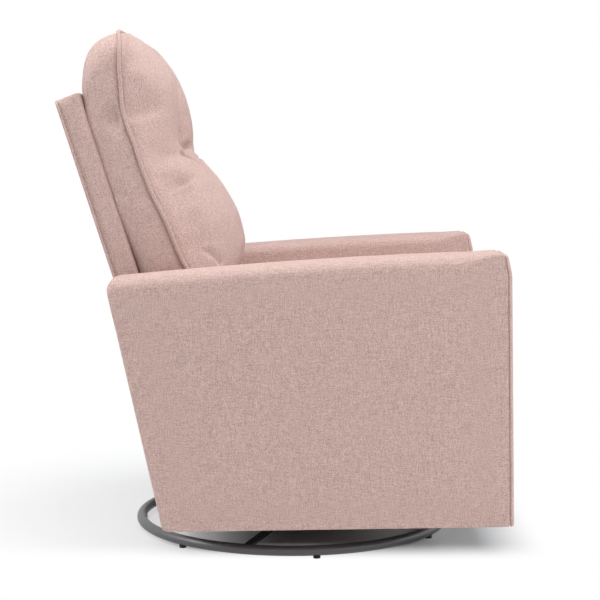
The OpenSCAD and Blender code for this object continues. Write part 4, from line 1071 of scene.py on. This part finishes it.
def seam_outline():
    """The seam in width and height: a rectangle with round corners whose top edge arches."""
    loop = rounded_box((-CUSHION_HALF, CUSHION_LOW), (CUSHION_HALF, CUSHION_TOP),
                       [CUSHION_CORNER] * 4, 0.008)
    above = np.clip((loop[:, 1] - cushion_middle) / (cushion_tall / 2), 0, 1)
    loop[:, 1] -= TOP_ARCH * above * (loop[:, 0] / CUSHION_HALF) ** 2
    return loop


def cushion_rings():
    """Boxing from the slab to the seam, then the front panel in shrinking copies of the seam."""
    seam = seam_outline()
    width, tall = seam.T
    seam_depth = soft_curve(seam_rise, tall)
    high = smooth_step(tall, BOXING_BEND, CUSHION_TOP)[:, None]
    low = np.clip((cushion_middle - tall) / (cushion_tall / 2), 0, 1) ** 6
    squeeze = (SLAB_TALL - BOXING_BEND) / (CUSHION_TOP - BOXING_BEND)
    rear_tall = np.where(tall > BOXING_BEND, BOXING_BEND + (tall - BOXING_BEND) * squeeze, tall)
    rear = np.column_stack([width * BOXING_DRAW, rear_tall + BOXING_LIFT * low])
    outward = np.stack([np.roll(tall, -1) - np.roll(tall, 1),
                        np.roll(width, 1) - np.roll(width, -1)], axis=1)
    outward /= np.linalg.norm(outward, axis=1, keepdims=True)
    centre = np.array([0.0, cushion_middle])
    rings = []
    for share in (0.3, 0.7, 0.95):
        flat = centre + (rear - centre) * share
        rings.append(on_back(flat[:, 0], flat[:, 1], SLAB_HALF_T + REAR_GAP))
    for angle in np.radians(np.linspace(0, 90, 12)):
        forward = (1 - math.cos(angle)) ** 0.8
        climb = np.where(seam[:, 1:] > cushion_middle, math.sin(angle), (math.sin(angle), forward ** 1.2))
        puff = BOXING_PUFF * math.sin(2 * angle) * (1 + 0.8 * high)
        flat = rear + (seam - rear) * climb + outward * puff
        rings.append(on_back(flat[:, 0], flat[:, 1], SLAB_HALF_T + REAR_GAP + seam_depth * forward))
    for share in PANEL_SHARES:
        flat = centre + (seam - centre) * share
        rings.append(on_back(flat[:, 0], flat[:, 1], SLAB_HALF_T + front_depth(flat[:, 0], flat[:, 1])))
    return np.array(rings)


def back_frame(points):
    """Width, height up the slab and distance ahead of the slab's front, of points in the row frame."""
    offset = points - HINGE
    return offset[:, 0], offset @ slab_up, offset @ slab_ahead - SLAB_HALF_T


def distance_from(path, points):
    """How far each point lies from the nearest point of the path."""
    near = kdtree.KDTree(len(path))
    for index, point in enumerate(path):
        near.insert(point, index)
    near.balance()
    return np.array([near.find(point)[2] for point in points])


def draw_in(mesh, amounts):
    """Moves each point of a mesh this far against its normal."""
    normals = read_vectors(mesh.vertex_normals, "vector")
    set_points(mesh, get_points(mesh) - amounts[:, None] * normals)


def tuck(piece, start, end, depth, below, above, fade_in, fade_out, ignored):
    """Draws the cover in along a line between two places. The groove falls off as a Gaussian, over one
    width below the line and over another above it, and fades in and out along it."""
    across, tall, ahead = back_frame(get_points(piece.data))
    offset = np.column_stack([across, tall, ahead]) - start
    run = np.subtract(end, start)
    offset[:, ignored] = run[ignored] = 0
    length = np.linalg.norm(run)
    share = offset @ run / length ** 2
    away = offset - np.clip(share, 0, 1)[:, None] * run
    upward = np.array([0.0, 1.0, 0.0]) - run * run[1] / length ** 2
    width = np.where(away @ upward > 0, above, below)
    fade = smooth_step(share, -0.05, fade_in) * (1 - smooth_step(share, 1 - fade_out, 1.05))
    fade *= smooth_step(np.abs(across), 0.22, 0.25) if ignored == 0 else smooth_step(ahead, 0.06, 0.08)
    draw_in(piece.data, depth * np.exp(-(away ** 2).sum(axis=1) / width ** 2) * fade)


cushion = new_piece("back_pad", closed_skin("back_pad", cushion_rings(), 180.0), blush_back)
seam_flat = seam_outline()
seam_ahead = SLAB_HALF_T + REAR_GAP + soft_curve(seam_rise, seam_flat[:, 1])
seam_path = on_back(seam_flat[:, 0], seam_flat[:, 1], seam_ahead)
with_modifier(cushion, "REMESH", mode="VOXEL", voxel_size=CUSHION_VOXEL)
cushion_points = get_points(cushion.data)
seam_away = distance_from(seam_path, cushion_points)
across, tall, ahead = back_frame(cushion_points)
pinch = np.exp(-(across / 0.05) ** 2 - ((tall - 0.398) / 0.02) ** 2)
parting = np.exp(-(across / 0.02) ** 2) * smooth_step(tall, 0.39, 0.41)
drawn_in = np.maximum(pinch, parting * (1 - smooth_step(tall, 0.53, 0.60)))
held = np.where((seam_away < 0.007) | (ahead < 0.004), 1.0, np.where(ahead > 0.09, drawn_in, 0.0))
inflate(cushion, held, 2.0, CUSHION_REACH * smooth_step(seam_away, 0.0, 0.045) * (1 - drawn_in), 0.02)
with_modifier(cushion, "SUBSURF", levels=1, render_levels=1)
for side in (-1, 1):
    for start, end, *shape in TUCKS:
        tuck(cushion, (side * start[0], *start[1:]), (side * end[0], *end[1:]), *shape)

# Where it lies against the slab the cover is flat, and it laps the slab's sides a little
LAP_OUT = 0.0035
LAP_BACK = 0.0045
cushion_points = get_points(cushion.data)
across, tall, ahead = back_frame(cushion_points)
cushion_points += np.maximum(REAR_GAP - ahead, 0)[:, None] * slab_ahead
lap = smooth_step(np.abs(across), 0.225, 0.245) * (1 - smooth_step(ahead, 0.0, 0.022))
lap *= smooth_step(tall, 0.20, 0.32) * (1 - smooth_step(tall, 0.49, 0.535))
cushion_points += lap[:, None] * (LAP_OUT * np.sign(across)[:, None] * ALONG_X - LAP_BACK * slab_ahead)
set_points(cushion.data, cushion_points)
cushion.data.shade_smooth()
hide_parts("back_cushion")
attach(cushion, "back")

# The welt lies in a shallow groove that follows the seam
welt_path, cushion_welt = welt_on("back_pad_welt", cushion, seam_path, CUSHION_WELT, 0.75)
beside = distance_from(welt_path, cushion_points)
draw_in(cushion.data, SEAM_GROOVE * np.exp(-(beside / GROOVE_WIDE) ** 2))
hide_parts("back_cushion_welt")
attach(cushion_welt, "back")


# The footrest folds out on two scissor linkages of flat black bar with bright rivets, driven by a
# tube across the chair. Its board is padded on the front and covered like the seat.
FOOT_CORNER = 0.022
dress(frame_paint, "lower_outer_bars", "lower_inner_bars", "upper_outer_bars", "upper_inner_bars",
      "footrest_brackets", "drive_tube")
dress(bright_pins, "scissor_pivot_pins")
foot_low, foot_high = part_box("footrest_cushion")
foot_half_h = (foot_high[2] - foot_low[2]) / 2
foot_deep = foot_high[1] - foot_low[1]
foot_profile = [(0.5, 0.0), (0.985, 0.0), (0.992, 0.006), (0.995, 0.012), (0.985, 0.020),
                (0.95, foot_deep - 0.002), (0.85, foot_deep), (0.5, foot_deep + 0.001),
                (0.2, foot_deep + 0.001)]
foot_mesh = boxed_pad("footrest_pad", foot_high[0], foot_half_h, FOOT_CORNER, foot_profile)
foot = new_piece("footrest_pad", foot_mesh, blush)
stand_up(foot.data, (0, foot_high[1], (foot_low[2] + foot_high[2]) / 2))
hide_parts("footrest_cushion")
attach(foot, "footrest")


# The release is a moulded black cup let into the inner face of the right arm, with a grey lever on a
# steel pin inside it. Both are spark-eroded plastic, paler and a little duller where it is scuffed.
PLASTIC_SKIN = ((60.0, 0.42), (1400.0, 0.00012), 0.08)
cup_plastic = moulded("cup_plastic", (0.014, 0.014, 0.015), (0.03, 0.03, 0.03), 0.5, *PLASTIC_SKIN)
lever_plastic = moulded("lever_plastic", (0.13, 0.13, 0.135), (0.2, 0.2, 0.2), 0.44, *PLASTIC_SKIN)
dress(cup_plastic, "release_cup")
dress(lever_plastic, "release_lever")
dress(bright_pins, "release_pin")
